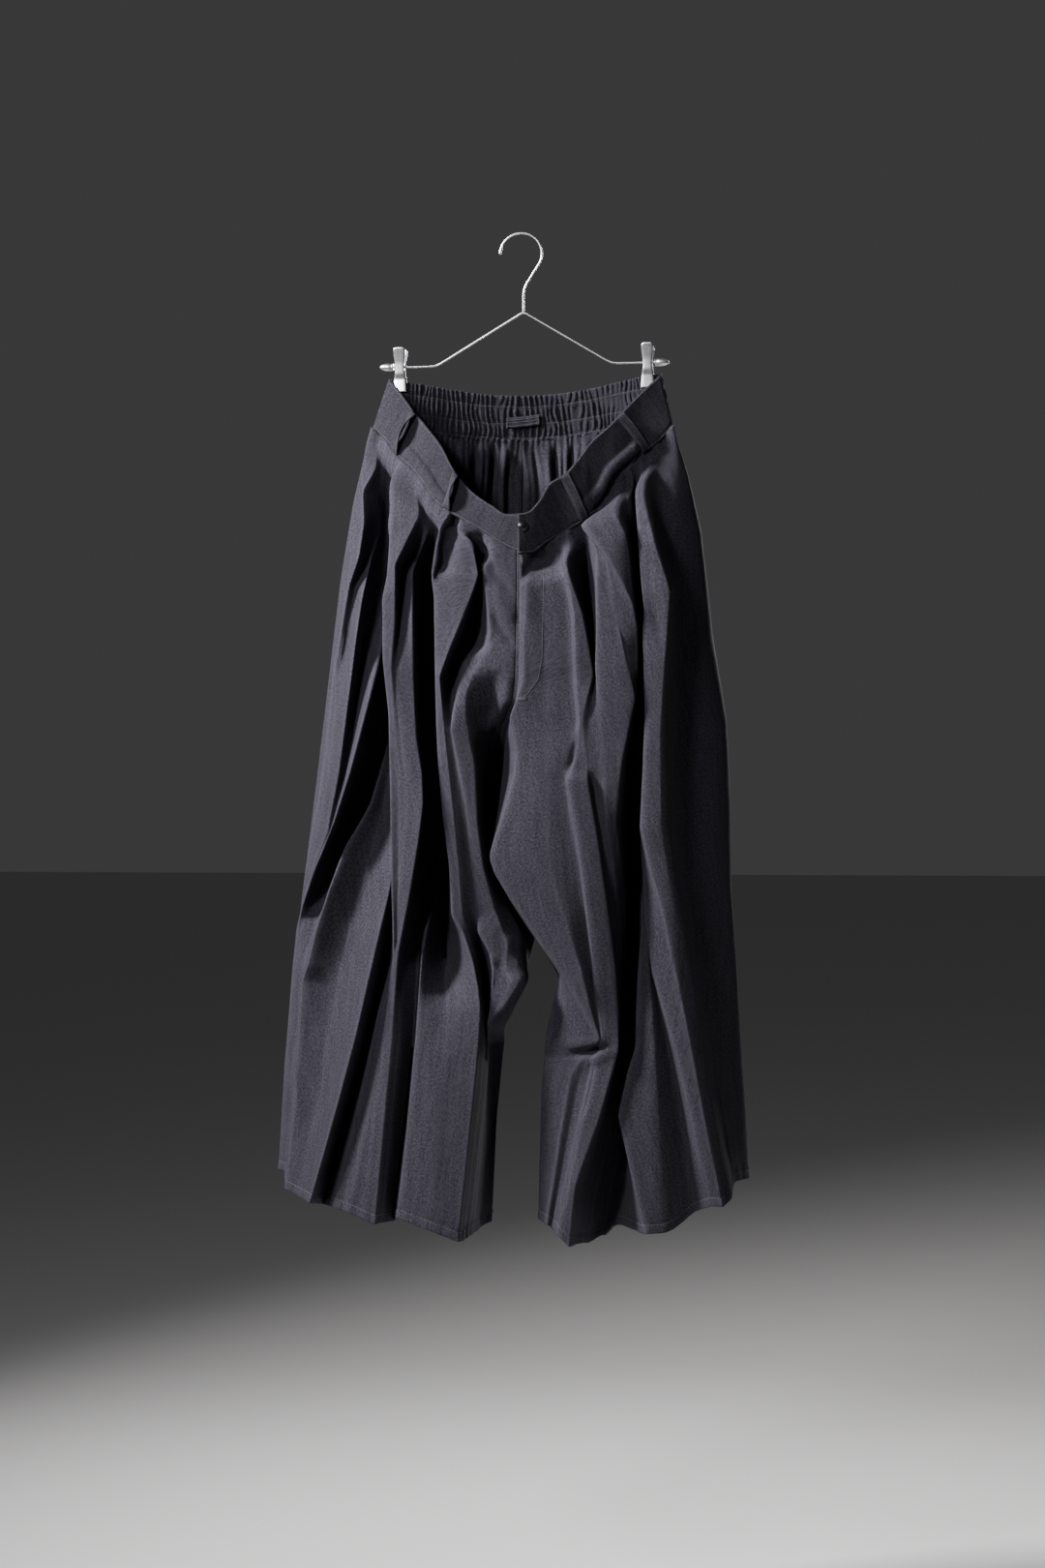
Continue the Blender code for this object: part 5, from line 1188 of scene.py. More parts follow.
def elastic_grid(columns, rows):
    """Rows of points over the casing, and how free of the stitching each of them is."""
    turn = np.linspace(0, 1, columns)[None]
    level = np.linspace(0, 1, rows)[:, None]
    grid = band_surface(BAND_BACK, BAND_MARGIN + (1 - 2 * BAND_MARGIN) * turn[0], level)
    held = sum(np.exp(-((level - row) / 0.05) ** 2) for row in ELASTIC_ROWS)
    free = 1 - 0.72 * np.clip(held, 0, 1)
    phase = GATHERS * turn + 0.6 * soft_noise(turn * 34, level * 2.6, 91)
    high = 0.62 + 0.5 * soft_noise(turn * 50, level * 3, 92)
    wave = (1 - 2 * (1 - np.abs(np.sin(pi * phase))) ** 1.3
            + 0.25 * np.sin(2 * pi * phase * 1.7 + 45 * turn))
    grid = grid + (wave * high * free * GATHER_HEIGHT * MM)[..., None] * BACKWARD
    ruffle = RUFFLE * np.sin(2 * pi * phase + 1.0) * high * np.exp(-level / 0.12)
    return grid + (ruffle * MM)[..., None] * UP, free


elastic, free = elastic_grid(GATHERS * 7 + 1, 46)
puff = half_thickness(elastic, PUFF_HALF, 1.2 * MM) * (0.75 + 0.5 * free)
SMALL["waistband_back"] = shell("cloth_waistband_back", elastic, puff, BAND_TWILL_DARKENED_AS_SHADE)
print("elastic", elastic.shape, "cloth along one row",
      running_length(elastic, 1)[20, -1].round(3))

# %% [markdown]
# ## Belt loops
# A belt loop is a narrow folded strip, sewn down at both ends. Two have been pulled and stand
# open in an arch. Each is lifted off the band's own surface, so it follows the band's curve.

# %% Four loops
LOOP_WIDTH = 11.5 * MM
STRIP_HALF = 0.8 * MM
LOOP_STAND = 1.3 + 0.7 + 0.8    # the band's half thickness, a gap and the loop's own, in mm
# Piece, band, where its top and its foot are sewn along the band, and how far it arches, in mm
BELT_LOOPS = (
    ("belt_loop_1_left", BAND_LEFT, 0.20, 0.185, 12.0),
    ("belt_loop_2_left", BAND_LEFT, 0.51, 0.56, 11.0),
    ("belt_loop_3_right", BAND_RIGHT, 0.61, 0.62, 3.5),
    ("belt_loop_4_right", BAND_RIGHT, 0.24, 0.20, 3.5),
)
LOOPS = {}


def loop_grid(band, top_s, low_s, bulge):
    """A strip down a band that stands off it in an arch, in mm."""
    i = np.linspace(0, 1, 34)[:, None]
    level = 0.02 + 0.96 * i
    s = top_s + (low_s - top_s) * level
    here, beside = (band_surface(band, (s + d).ravel(), level.ravel()) for d in (0, 0.01))
    pace = np.linalg.norm(beside - here, axis=1) / 0.01
    k = np.linspace(-1, 1, 15)[None, :]
    lift = bulge * np.sin(pi * i) ** 0.8
    lean = np.minimum(0.9 * lift * MM / LOOP_WIDTH, 0.86)
    wide = (s + k * np.sqrt(1 - lean ** 2) * LOOP_WIDTH / 2 / pace[:, None])
    levels = np.broadcast_to(level, wide.shape)
    grid = band_surface(band, wide.ravel(), levels.ravel()).reshape(*wide.shape, 3)
    if (grid[0, -1] - grid[0, 0]) @ ALONG < 0:
        grid = grid[:, ::-1]
    stand = (LOOP_STAND + lift * (0.55 + 0.45 * k)) * MM
    crown = -0.25 * MM * np.exp(-((np.abs(k) - 0.72) / 0.10) ** 2)
    return grid + normals_of(grid) * (stand + crown)[..., None]


for name, band, top_s, low_s, bulge in BELT_LOOPS:
    grid = LOOPS[name] = loop_grid(band, top_s, low_s, bulge)
    half = half_thickness(grid, STRIP_HALF, 0.9 * MM)
    SMALL[name] = shell("cloth_" + name, grid, half, BAND_TWILL_DARKENED_AS_SHADE)
    print(name, "is", running_length(grid, 0)[-1, 7].round(3), "m long")

# %% [markdown]
# ## The hanging tape
# The tape at the centre back is a short flat strip, sewn down over the gathers.

# %% The tape
TAPE_COLUMNS, TAPE_ROWS = 44, 14
TAPE_REACH = 5.7                # gathers that the tape covers to each side of the centre
turn = np.linspace(-TAPE_REACH, TAPE_REACH, TAPE_COLUMNS)
s = BAND_MARGIN + (1 - 2 * BAND_MARGIN) * (GATHERS + turn) / (2 * GATHERS)
level = np.linspace(0.46, 0.70, TAPE_ROWS)[:, None] - 0.08 * (turn[None] / 11.4)
tape = band_surface(BAND_BACK, s, level) - 3.0 * MM * BACKWARD
sag = 0.35 * MM * np.sin(np.linspace(0, 9, TAPE_COLUMNS)) ** 2
tape = tape + sag[None, :, None] * BACKWARD
half = half_thickness(tape, STRIP_HALF, 0.8 * MM)
SMALL["tape_loop"] = shell("cloth_tape_loop", tape, half, BAND_TWILL_DARKENED_AS_SHADE)
print("loops:", len(LOOPS), "tape", running_length(tape, 1)[0, -1].round(3))

# %% [markdown]
# ## The hanger's metal
# The hanger is bright drawn wire with two sprung clips and turned end caps; the snap at the
# closure is dark gunmetal. Both metals share one group: fine drawing lines and a breath of
# dullness, read from the object's own place in space, because metal has no flat map.

# %% The metal group
def metal_group():
    """Colour, roughness and height of drawn metal, from a place in space."""
    tree, given = new_group("Drawn metal", "ShaderNodeTree", {
        "Metal colour": "Color", "Dull colour": "Color", "Smoothest": "Float",
        "Roughest": "Float", "Line scale": "Float"}, SURFACE)
    where = add_node(tree, "ShaderNodeTexCoord", (-900, -300)).outputs["Object"]
    stretch = add_node(tree, "ShaderNodeMapping", (-720, -300),
                       {"Vector": where, "Scale": (0.12, 1.0, 1.0)})
    lines = add_node(tree, "ShaderNodeTexNoise", (-520, -300), {
        "Vector": stretch.outputs[0], "Scale": given["Line scale"], "Detail": 3}).outputs[0]
    dull = add_node(tree, "ShaderNodeTexNoise", (-520, 0),
                    {"Vector": where, "Scale": 140, "Detail": 4})
    amount = add_node(tree, "ShaderNodeMapRange", (-300, 0),
                      {"Value": dull.outputs[0], "From Min": 0.40, "From Max": 0.68})
    mixed = add_node(tree, "ShaderNodeMix", (-80, 100), {
        0: amount.outputs[0], 6: given["Metal colour"], 7: given["Dull colour"]},
        data_type="RGBA")
    rough = add_node(tree, "ShaderNodeMix", (-80, -120), {
        0: lines, 2: given["Smoothest"], 3: given["Roughest"]}, data_type="FLOAT")
    add_node(tree, "NodeGroupOutput", (160, 0), {
        "Colour": mixed.outputs[2], "Roughness": rough.outputs[0], "Height": lines})
    return tree


DRAWN = metal_group()


def metal_material(name, bright, dull, smoothest, roughest, lines, bump):
    """A metal of its own colours, fineness and polish."""
    return finished(name, DRAWN, {
        "Metal colour": (*bright, 1), "Dull colour": (*dull, 1), "Smoothest": smoothest,
        "Roughest": roughest, "Line scale": lines}, bump, 0.0001, {"Metallic": 1.0})


STEEL = metal_material("bright drawn steel", (0.78, 0.78, 0.80), (0.70, 0.70, 0.72),
                       0.28, 0.38, 900, 0.04)
GUNMETAL = metal_material("dark gunmetal", (0.13, 0.13, 0.14), (0.07, 0.07, 0.08),
                          0.22, 0.45, 1200, 0.2)
print("metals:", STEEL.name, GUNMETAL.name)

# %% [markdown]
# ## Bending wire
# A wire is a circle carried along a path. The circle is turned from point to point by the
# smallest turn that keeps it square to the path, so the tube never twists. A bevelled curve would
# need turning into a mesh afterwards.

# %% Wire
WIRE_SIDES = 18
BLUNT_REACH, BLUNT_RADIUS = 0.5, 0.55   # a wire's rounded end, as shares of its radius


def plain_mesh(name, points, faces, material):
    """A smooth piece from points and faces."""
    mesh = bpy.data.meshes.new(name)
    mesh.from_pydata([tuple(p) for p in points], [], [tuple(int(i) for i in f) for f in faces])
    mesh.polygons.foreach_set("use_smooth", np.ones(len(faces), bool))
    mesh.materials.append(material)
    mesh.update()
    return add_piece(name, mesh)


def spaced(points, count=None, pitch=None):
    """A path's points again, spaced evenly along it: so many, or one to each pitch."""
    points = np.array(points, float)
    steps = np.linalg.norm(np.diff(points, axis=0), axis=1)
    gone = np.concatenate([[0], np.cumsum(steps)])
    at = np.linspace(0, gone[-1], count or max(4, int(gone[-1] / pitch)))
    return np.stack([np.interp(at, gone, column) for column in points.T], axis=-1)


def smooth_path(points, count):
    """A path rounded through its corners: points spaced evenly, then eased three times."""
    path = spaced(points, count)
    for _ in range(3):
        path[1:-1] = path[1:-1] / 2 + (path[:-2] + path[2:]) / 4
    return path


def wire(name, path, radius, material):
    """A round wire along a path, with softly rounded ends."""
    tangent = np.gradient(path, axis=0)
    tangent /= np.linalg.norm(tangent, axis=1, keepdims=True)
    path = np.concatenate([path[:1] - tangent[:1] * radius * BLUNT_REACH, path,
                           path[-1:] + tangent[-1:] * radius * BLUNT_REACH])
    tangent = np.concatenate([tangent[:1], tangent, tangent[-1:]])
    blunt = radius * BLUNT_RADIUS
    radii = [blunt] + [radius] * (len(path) - 2) + [blunt]
    side = np.cross(tangent[0], [0.3, 1.0, 0.2])
    side /= np.linalg.norm(side)
    angle = np.linspace(0, 2 * pi, WIRE_SIDES, endpoint=False)[:, None]
    rings = []
    for t, p, r in zip(tangent, path, radii):
        side = side - t * (side @ t)
        side /= np.linalg.norm(side)
        rings.append(p + r * (np.cos(angle) * side + np.sin(angle) * np.cross(t, side)))
    faces = []
    for first in range(0, (len(path) - 1) * WIRE_SIDES, WIRE_SIDES):
        for c in range(WIRE_SIDES):
            a, b = first + c, first + (c + 1) % WIRE_SIDES
            faces.append((a, b, b + WIRE_SIDES, a + WIRE_SIDES))
    last = (len(path) - 1) * WIRE_SIDES
    caps = [tuple(range(WIRE_SIDES))[::-1], tuple(range(last, last + WIRE_SIDES))]
    return plain_mesh(name, np.concatenate(rings), faces + caps, material)


print("a corner eased three times:", smooth_path([(0, 0, 0), (1, 0, 0), (1, 1, 0)], 5)[2].round(3))

# %% [markdown]
# ## The hook and the arms
# The hanger is bent from two lengths of wire. One makes the hook and its stem, and the other runs
# from end to end as the bar that carries the clips, rising to a peak where the stem is fixed.

# %% Hook and arms
WIRE_RADIUS = 1.2 * MM
HOOK_RADIUS = 24 * MM
BAR_DROP = 148.5 * MM
BAR_REACH = 150 * MM
APEX_DROP = 89 * MM
sweep = np.radians(np.linspace(178, -24, 70))
curl = np.stack([-3 * MM + HOOK_RADIUS * np.cos(sweep), 0 * sweep,
                 WIRE_RADIUS - HOOK_RADIUS + HOOK_RADIUS * np.sin(sweep)], axis=-1)
stem = smooth_path([
    curl[-1], (9.5 * MM, 0, -47 * MM), (3.0 * MM, 0, -57.5 * MM), (0.8 * MM, 0, -62.5 * MM),
    (0, 0, -68 * MM), (0, 0, -APEX_DROP + 1.4 * MM)], 60)
HARDWARE = {
    "hanger_hook": wire("steel_hook", np.concatenate([curl, stem[1:]]), WIRE_RADIUS, STEEL)}
half_bar = [
    (BAR_REACH, 0, -BAR_DROP), (108 * MM, 0, -BAR_DROP), (101 * MM, 0, -BAR_DROP + 0.8 * MM),
    (95 * MM, 0, -BAR_DROP + 3.4 * MM), (6 * MM, 0, -APEX_DROP - 3.0 * MM),
    (2.6 * MM, 0, -APEX_DROP - 0.9 * MM)]
bar = half_bar + [(0, 0, -APEX_DROP)] + [(-x, y, z) for x, y, z in half_bar[::-1]]
HARDWARE["hanger_arms"] = wire("steel_arms", smooth_path(bar, 260), WIRE_RADIUS, STEEL)
print("wire pieces:", len(HARDWARE))

# %% [markdown]
# ## Turned work
# Caps, barrels and the snap are turned like work in a lathe: an outline of radii and heights is
# carried round an axis. Where the outline meets the axis its points run together into one.

# %% Turning an outline
def turned(name, profile, scale, centre, axis, material, steps=40, closed=False):
    """Turned work: (radius, height) pairs run from the top of the axis down the outer side."""
    turn = Vector((0, 0, 1)).rotation_difference(Vector(axis).normalized()).to_matrix()
    points, index = [], []
    for radius, height in ((r * scale, h * scale) for r, h in profile):
        if radius < 1e-7:
            index.append([len(points)] * steps)
            points.append(Vector(centre) + turn @ Vector((0, 0, height)))
            continue
        index.append(list(range(len(points), len(points) + steps)))
        for k in range(steps):
            a = 2 * pi * k / steps
            out = turn @ Vector((radius * cos(a), radius * sin(a), height))
            points.append(Vector(centre) + out)
    faces = []
    for upper, lower in list(zip(index, index[1:])) + ([(index[-1], index[0])] if closed else []):
        for k in range(steps):
            n = (k + 1) % steps
            corners = [upper[k], lower[k], lower[n], upper[n]]
            face = [v for i, v in enumerate(corners) if v not in corners[:i]]
            if len(face) > 2:
                faces.append(face)
    return plain_mesh(name, points, faces, material)


# Radius and height of an end cap, in mm
CAP = (
    (0.0, 16.0), (0.9, 15.9), (1.9, 15.3), (2.8, 14.0), (3.5, 12.2), (4.0, 10.2), (4.3, 8.2),
    (4.4, 6.2), (4.4, 2.6), (4.2, 2.3), (4.2, 1.9), (4.4, 1.6), (4.4, 0.6), (4.2, 0.2),
    (3.8, 0.0), (0.0, 0.0),
)
print("a cap is", CAP[0][1], "mm long and", 2 * max(r for r, h in CAP), "mm across")

# %% [markdown]
# ## Caps and clips
# The bar's ends have turned caps. A clip is two pressed arms on a sprung barrel round the bar, and
# each arm is a crowned strip, narrow at the bar and wide at its jaw.

# %% Caps, arms and barrels
CLIP_PLACE = 142 * MM
# Drop below the hook, distance from the bar's middle and half width, in mm
CLIP_ARM = (
    (126.5, 9.2, 3.2), (127.6, 9.4, 5.6), (129.5, 9.0, 6.9), (137.0, 7.4, 6.5),
    (145.0, 6.0, 5.4), (150.0, 5.6, 5.2), (156.0, 5.2, 5.6), (163.0, 3.4, 6.8),
    (171.0, 3.3, 7.6), (177.5, 3.3, 8.0),
)
CROWN = 0.45                    # how far an arm's edges are pressed back, in mm
JAW_DROP = 163                  # from here down an arm leans with the cloth it holds
JAW_LEAN = {"left": -0.14, "right": 0.03}
CLIP_HALF = 0.6 * MM
COILS, BORE, COIL_END = 9, 1.35, 4.5
BARREL = [(BORE, COIL_END)]
for coil in range(COILS):
    h = COIL_END - coil
    BARREL += [(3.7, h), (4.2, h - 0.25), (4.3, h - 0.5), (4.2, h - 0.75)]
BARREL += [(3.7, -COIL_END), (BORE, -COIL_END)]


def clip_arm(x, facing, lean):
    """A pressed arm: a crowned strip that narrows at the bar and spreads again at the jaw."""
    drops = np.linspace(CLIP_ARM[0][0], CLIP_ARM[-1][0], 54)
    away, wide = columns_at(CLIP_ARM, drops)
    k = np.linspace(-1, 1, 15)[None, :]
    depth = facing * (away[:, None] - CROWN * k ** 4)
    depth = depth + lean * np.maximum(0, drops - JAW_DROP)[:, None]
    rise = np.broadcast_to(-drops[:, None] * MM, depth.shape)
    grid = np.stack([x + wide[:, None] * k * MM, depth * MM, rise], axis=-1)
    return grid if facing < 0 else grid[:, ::-1]


for side_name, side in (("left", -1), ("right", 1)):
    HARDWARE["cap_" + side_name] = turned(
        "steel_cap_" + side_name, CAP, MM, (side * BAR_REACH, 0, -BAR_DROP), (side, 0, 0), STEEL)
    for arm_name, facing in (("front", -1), ("back", 1)):
        grid = clip_arm(side * CLIP_PLACE, facing, JAW_LEAN[side_name])
        node = f"clip_{side_name}_{arm_name}"
        half = half_thickness(grid, CLIP_HALF, 0.6 * MM)
        HARDWARE[node] = shell("steel_" + node, grid, half, STEEL)
    node = f"clip_{side_name}_barrel"
    HARDWARE[node] = turned("steel_" + node, BARREL, MM, (side * CLIP_PLACE, 0, -BAR_DROP),
                            (1, 0, 0), STEEL, 32, True)
print("pieces of hanger:", len(HARDWARE))

# %% [markdown]
# ## The snap
# The snap's cap is riveted through the right band. It faces the way the band does there, found
# from three places on the band.

# %% The snap's cap
BUTTON_RADIUS = 5.8 * MM
BUTTON_STAND = 1.6              # in mm
# Radius and height, as shares of the snap's radius
SNAP = (
    (0.0, 0.46), (0.14, 0.455), (0.30, 0.44), (0.42, 0.415), (0.55, 0.37), (0.64, 0.335),
    (0.72, 0.31), (0.76, 0.265), (0.80, 0.24), (0.86, 0.245), (0.93, 0.26), (0.97, 0.235),
    (1.0, 0.19), (1.0, 0.03), (0.97, 0.0), (0.0, 0.0),
)
s, level = np.array([0.955, 0.950, 0.955]), np.array([0.32, 0.32, 0.34])
seat, beside, under = band_surface(BAND_RIGHT, s, level)
facing = np.cross(beside - seat, under - seat)
facing = facing / np.linalg.norm(facing)
facing = facing if facing @ BACKWARD < 0 else -facing
HARDWARE["snap_button"] = turned("gunmetal_snap", SNAP, BUTTON_RADIUS,
                                 seat + facing * BUTTON_STAND * MM, facing, GUNMETAL)
print("hardware pieces:", len(HARDWARE))

# %% [markdown]
# ## Sewing
# A row of machine stitches is one small thread repeated along a path, which is exactly what
# Geometry Nodes do well: points at an even pitch along a line, a thread end on each, turned to
# the line's direction and made a little uneven.

# %% The tree that sews
def sewing_tree():
    """Stitches along every line of a mesh."""
    tree, given = new_group("Row of stitches", "GeometryNodeTree", {
        "Path": "Geometry", "Stitch pitch": "Float", "Stitch length": "Float",
        "Thread radius": "Float", "Seed": "Int", "Thread": "Material"}, {"Stitches": "Geometry"})
    line = add_node(tree, "GeometryNodeMeshToCurve", (-700, 100), {"Mesh": given["Path"]})
    points = add_node(tree, "GeometryNodeCurveToPoints", (-500, 100), {
        "Curve": line.outputs["Curve"], "Length": given["Stitch pitch"]}, mode="LENGTH").outputs
    thread = add_node(tree, "GeometryNodeMeshUVSphere", (-500, -200), {
        "Segments": 6, "Rings": 4, "Radius": 1.0})
    aim = add_node(tree, "FunctionNodeAlignRotationToVector", (-300, -20), {
        "Vector": points["Tangent"]}, axis="Z")
    uneven = add_node(tree, "FunctionNodeRandomValue", (-500, -420), {
        2: 0.88, 3: 1.10, "Seed": given["Seed"]}, data_type="FLOAT")
    length = sums(tree, "MULTIPLY", (-300, -300), given["Stitch length"], uneven.outputs[1])
    half = sums(tree, "MULTIPLY", (-140, -300), length, 0.5)
    size = add_node(tree, "ShaderNodeCombineXYZ", (20, -260), {
        0: given["Thread radius"], 1: given["Thread radius"], 2: half})
    put = add_node(tree, "GeometryNodeInstanceOnPoints", (180, 60), {
        "Points": points["Points"], "Instance": thread.outputs["Mesh"],
        "Rotation": aim.outputs["Rotation"], "Scale": size.outputs[0]})
    real = add_node(tree, "GeometryNodeRealizeInstances", (360, 60), {0: put.outputs[0]})
    painted = add_node(tree, "GeometryNodeSetMaterial", (540, 60), {
        "Geometry": real.outputs[0], "Material": given["Thread"]})
    add_node(tree, "NodeGroupOutput", (720, 60), {"Stitches": painted.outputs[0]})
    return tree


SEWING = sewing_tree()
print("nodes in the sewing:", len(SEWING.nodes))

# %% [markdown]
# ## Threading a path
# Each row is drawn as a plain line, sewn by the tree, and kept as one mesh.

# %% Sewing along paths
SEWN = {}


def sew(name, node, paths, pitch, length, radius, seed):
    """Stitches along paths, as one plain mesh on a node; pitch, length and radius are in mm."""
    points, edges = [], []
    for path in paths:
        start = len(points)
        points += [tuple(p) for p in path]
        edges += [(start + i, start + i + 1) for i in range(len(path) - 1)]
    line = bpy.data.meshes.new(name + "_line")
    line.from_pydata(points, edges, [])
    carrier = add_piece(name + "_line", line)
    sewing = carrier.modifiers.new("sewing", "NODES")
    sewing.node_group = SEWING
    values = {"Stitch pitch": pitch * MM, "Stitch length": length * MM,
              "Thread radius": radius * MM, "Seed": seed, "Thread": THREAD}
    for item in SEWING.interface.items_tree:
        if item.in_out == "INPUT" and item.name in values:
            sewing[item.identifier] = values[item.name]
    bpy.context.view_layer.update()
    ready = carrier.evaluated_get(bpy.context.evaluated_depsgraph_get())
    mesh = bpy.data.meshes.new_from_object(ready)
    mesh.name = name
    flat = mesh.uv_layers.get("flat") or mesh.uv_layers.new(name="flat")
    places = np.empty(len(mesh.vertices) * 3)
    mesh.vertices.foreach_get("co", places)
    corners = np.empty(len(mesh.loops), int)
    mesh.loops.foreach_get("vertex_index", corners)
    flat.data.foreach_set("uv", places.reshape(-1, 3)[:, [0, 2]][corners].ravel())
    mesh.polygons.foreach_set("use_smooth", np.ones(len(mesh.polygons), bool))
    SEWN[name] = (add_piece(name, mesh), node)
    bpy.data.objects.remove(carrier)


print("thread:", THREAD.name)

# %% [markdown]
# ## Hems, bands and loops sewn
# Each row of sewing follows a row or a column of its cloth's own grid, so every stitch sits on it.

# %% Rows of stitches
STITCH_ABOVE = 0.12             # a stitch lies this far above its cloth, in mm
LOOP_STITCH_ABOVE = 0.9
hem_row = int(np.argmin(np.abs(FINE_ROWS - STITCHED_ROW)))
for seed, (name, panel) in enumerate(PANELS.items(), 1):
    path = panel["outer"][hem_row] + panel["outward"][hem_row] * STITCH_ABOVE * MM
    sew("hem_stitches_" + name, name, [path[2:-2]], 3.4, 2.6, 0.28, seed)

for side_name, grid in bands.items():
    normal, down = normals_of(grid), running_length(grid, 0)[:, 60]
    top_row = int(np.argmin(np.abs(down - 2.2 * MM)))
    low_row = int(np.argmin(np.abs(down - (down[-1] - 2.4 * MM))))
    rows = [(grid[r] + normal[r] * (BAND_HALF + STITCH_ABOVE * MM))[3:-3]
            for r in (top_row, low_row)]
    sew("band_stitches_" + side_name, "waistband_" + side_name, rows, 3.0, 2.3, 0.26, 7)

rows = []
normal = normals_of(elastic)
for level in ELASTIC_ROWS:
    row = int(round(level * (elastic.shape[0] - 1)))
    for side in (1, -1):
        rows.append(elastic[row] + side * normal[row] * (puff[row][:, None] + 0.1 * MM))
sew("elastic_stitches", "waistband_back", rows, 3.2, 2.4, 0.26, 9)

for name, grid in LOOPS.items():
    normal = normals_of(grid)
    rows = [grid[1:-1, c] + normal[1:-1, c] * LOOP_STITCH_ABOVE * MM for c in (3, 11)]
    sew(name + "_stitches", name, rows, 2.6, 2.0, 0.22, 12)
normal = normals_of(tape)
rows = [tape[r, 2:-2] + normal[r, 2:-2] * LOOP_STITCH_ABOVE * MM for r in (3, 6, 10)]
sew("tape_stitches", "tape_loop", rows, 2.4, 1.9, 0.34, 13)
print("sewn so far:", len(SEWN))

# %% [markdown]
# ## The closure
# The front laps over at the closure and is held by a curved row of topstitching with a bar tack
# at its foot. Those rows are drawn on the sheet and then dropped straight onto the cloth, as a
# marking wheel would do.

# %% Topstitching on the fly
DROP_PITCH = 1.5                # squares between the places of a dropped path
DROP_ABOVE = 0.2                # in mm


def tree_of(piece):
    """A piece's faces, ready for finding where a line of sight meets them."""
    mesh = piece.data
    return BVHTree.FromPolygons([v.co for v in mesh.vertices], [p.vertices for p in mesh.polygons])


def dropped(tree, path):
    """The places where a path of rows and columns falls on a piece, seen from the eye."""
    found = []
    for row, column in spaced(path, pitch=DROP_PITCH):
        aim = Vector(place(row, column, 0)) - Vector(EYE)
        hit, normal, _, _ = tree.ray_cast(Vector(EYE), aim.normalized())
        if hit is not None:
            facing = normal if normal.dot(aim) < 0 else -normal
            found.append(np.array(hit + facing * DROP_ABOVE * MM))
    return found


front_cloth = tree_of(LEGS["front_right"])
FLY = ((588, 562), (640, 561), (680, 560), (702, 556), (716, 546), (722, 538))
EDGE = ((578, 537.5), (640, 537.3), (700, 536.5), (722, 535.5))
fly = [dropped(front_cloth, path) for path in (FLY, EDGE)]
sew("fly_stitches", "front_right", fly, 2.9, 2.3, 0.27, 21)
tack = [dropped(front_cloth, ((721 + k * 0.9, 535), (720 + k * 0.9, 543))) for k in range(4)]
sew("bar_tack", "front_right", tack, 0.8, 1.6, 0.3, 22)
print("rows of sewing:", len(SEWN), "faces", sum(len(p.data.polygons) for p, _ in SEWN.values()))

# %% [markdown]
# ## Telling the frame what each piece is
# Every piece rides on the one body, and each cloth and metal piece stands for its solid node,
# which is hidden.

# %% Riding and replacing
for name, piece in LEGS.items():
    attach(piece, "root")
    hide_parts(name)
for name, piece in SMALL.items():
    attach(piece, "root")
    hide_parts(name)
for name, piece in HARDWARE.items():
    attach(piece, "root")
    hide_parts(name)
for name, (piece, node) in SEWN.items():
    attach(piece, "root")

# %% [markdown]
# ## The floor
# A pale floor with a faint unevenness, large enough to have no edge in the picture.

# %% A pale floor
FLOOR_DROP = 1.62
FLOOR_REACH = 30
FLOOR_COLOUR = (0.62, 0.61, 0.60)
FLOOR_SHADE = 0.96              # the darker patches, as a share of the floor's colour
floor_material = bpy.data.materials.new("pale floor")
floor_material.use_nodes = True
tree = floor_material.node_tree
grain = add_node(tree, "ShaderNodeTexNoise", (-500, 0), {"Scale": 3})
tint = add_node(tree, "ShaderNodeMix", (-250, 0), {
    0: grain.outputs[0], 6: (*FLOOR_COLOUR, 1),
    7: (*(c * FLOOR_SHADE for c in FLOOR_COLOUR), 1)}, data_type="RGBA")
feed(tree, tree.nodes["Principled BSDF"], {"Base Color": tint.outputs[2], "Roughness": 0.85})
floor_mesh = bpy.data.meshes.new("floor")
floor_mesh.from_pydata([(x * FLOOR_REACH, y * FLOOR_REACH, -FLOOR_DROP)
                        for x, y in ((-1, -1), (1, -1), (1, 1), (-1, 1))], [], [(0, 1, 2, 3)])
floor_mesh.materials.append(floor_material)
floor = add_piece("floor", floor_mesh)
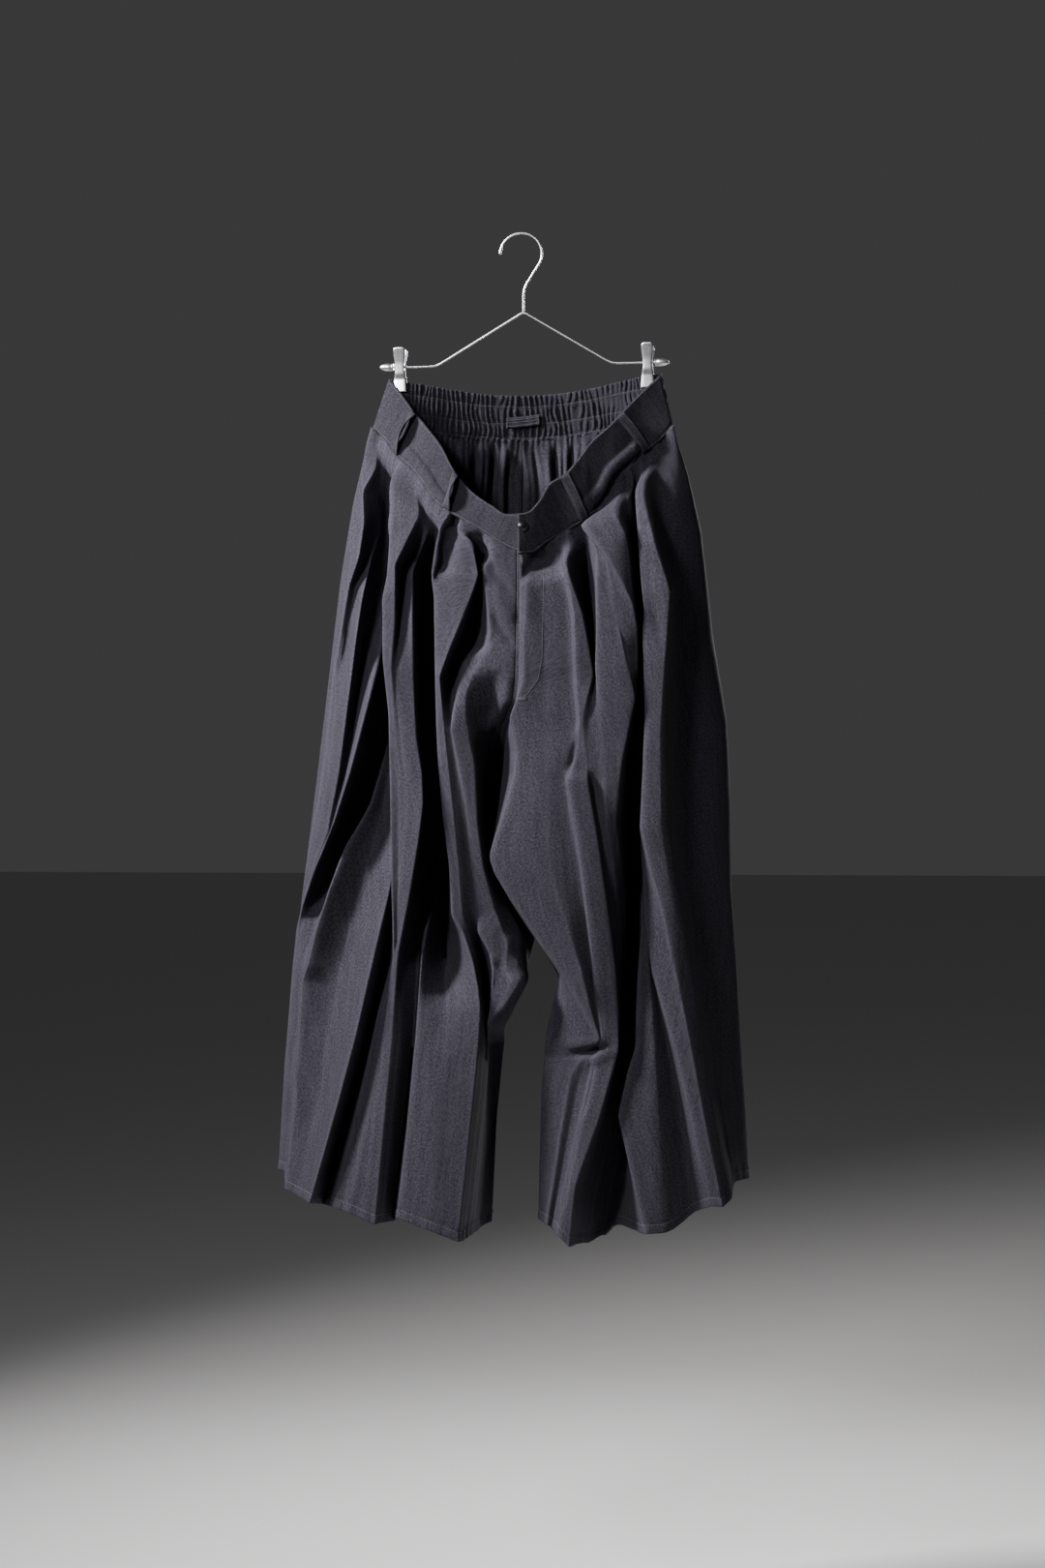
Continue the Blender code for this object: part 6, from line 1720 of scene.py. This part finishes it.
print("the floor is", FLOOR_DROP, "m below the hook")

# %% [markdown]
# ## Light
# Three lamps and a dim surround. The strongest is small, far round to the left and only a little
# in front: the folds turned to the left show their weave and the others fall into shade. A weaker
# one from the front left opens the shade, and one behind on the right draws the edges.

# %% Lamps and surround
def soft_light(name, place_at, aim_at, size, power, colour):
    """A square lamp of this size, turned from its place to its aim."""
    lamp = bpy.data.lights.new(name, "AREA")
    lamp.shape = "RECTANGLE"
    lamp.size = lamp.size_y = size
    lamp.energy = power
    lamp.color = colour
    lamp.spread = radians(80)
    light = add_piece(name, lamp)
    light.location = place_at
    aim = Vector(aim_at) - Vector(place_at)
    light.rotation_euler = aim.to_track_quat("-Z", "Y").to_euler()


KEY = Vector(-ALONG * 2.03 - BACKWARD * 0.67 + UP * 0.95)
SECOND = Vector(-ALONG * 1.5 - BACKWARD * 2.5 + UP * 0.9)
BEHIND = Vector(ALONG * 1.0 + BACKWARD * 2.6 + UP * 0.4)
soft_light("key", KEY, (0, 0, -0.30), 0.4, 67, (1.0, 0.985, 0.985))
soft_light("second", SECOND, (0, 0, -0.5), 0.5, 16, (0.98, 0.98, 1.0))
soft_light("back", BEHIND, (0, 0, -0.5), 0.8, 26, (0.98, 0.98, 1.0))
world = bpy.data.worlds.new("pale surround")
world.use_nodes = True
feed(world.node_tree, world.node_tree.nodes["Background"],
     {"Color": (0.80, 0.79, 0.82, 1), "Strength": 0.06})
bpy.context.scene.world = world
print("lamps:", ", ".join(lamp.name for lamp in bpy.data.lights))

# %% [markdown]
# ## Camera
# The camera looks level from knee height, a few degrees round from the front, through a long
# lens, so the hanging folds stay upright in the picture.

# %% The camera
lens = bpy.data.cameras.new("camera")
lens.sensor_fit = "VERTICAL"
lens.sensor_height = lens.sensor_width = 36
lens.lens = 70
lens.clip_end = 100
camera = add_piece("camera", lens)
camera.location = EYE - ALONG * SQUARE
camera.rotation_euler = (pi / 2, 0, SHEET_TURN)
bpy.context.scene.camera = camera
print("the camera stands", round(camera.location.length, 2), "m from the hook")
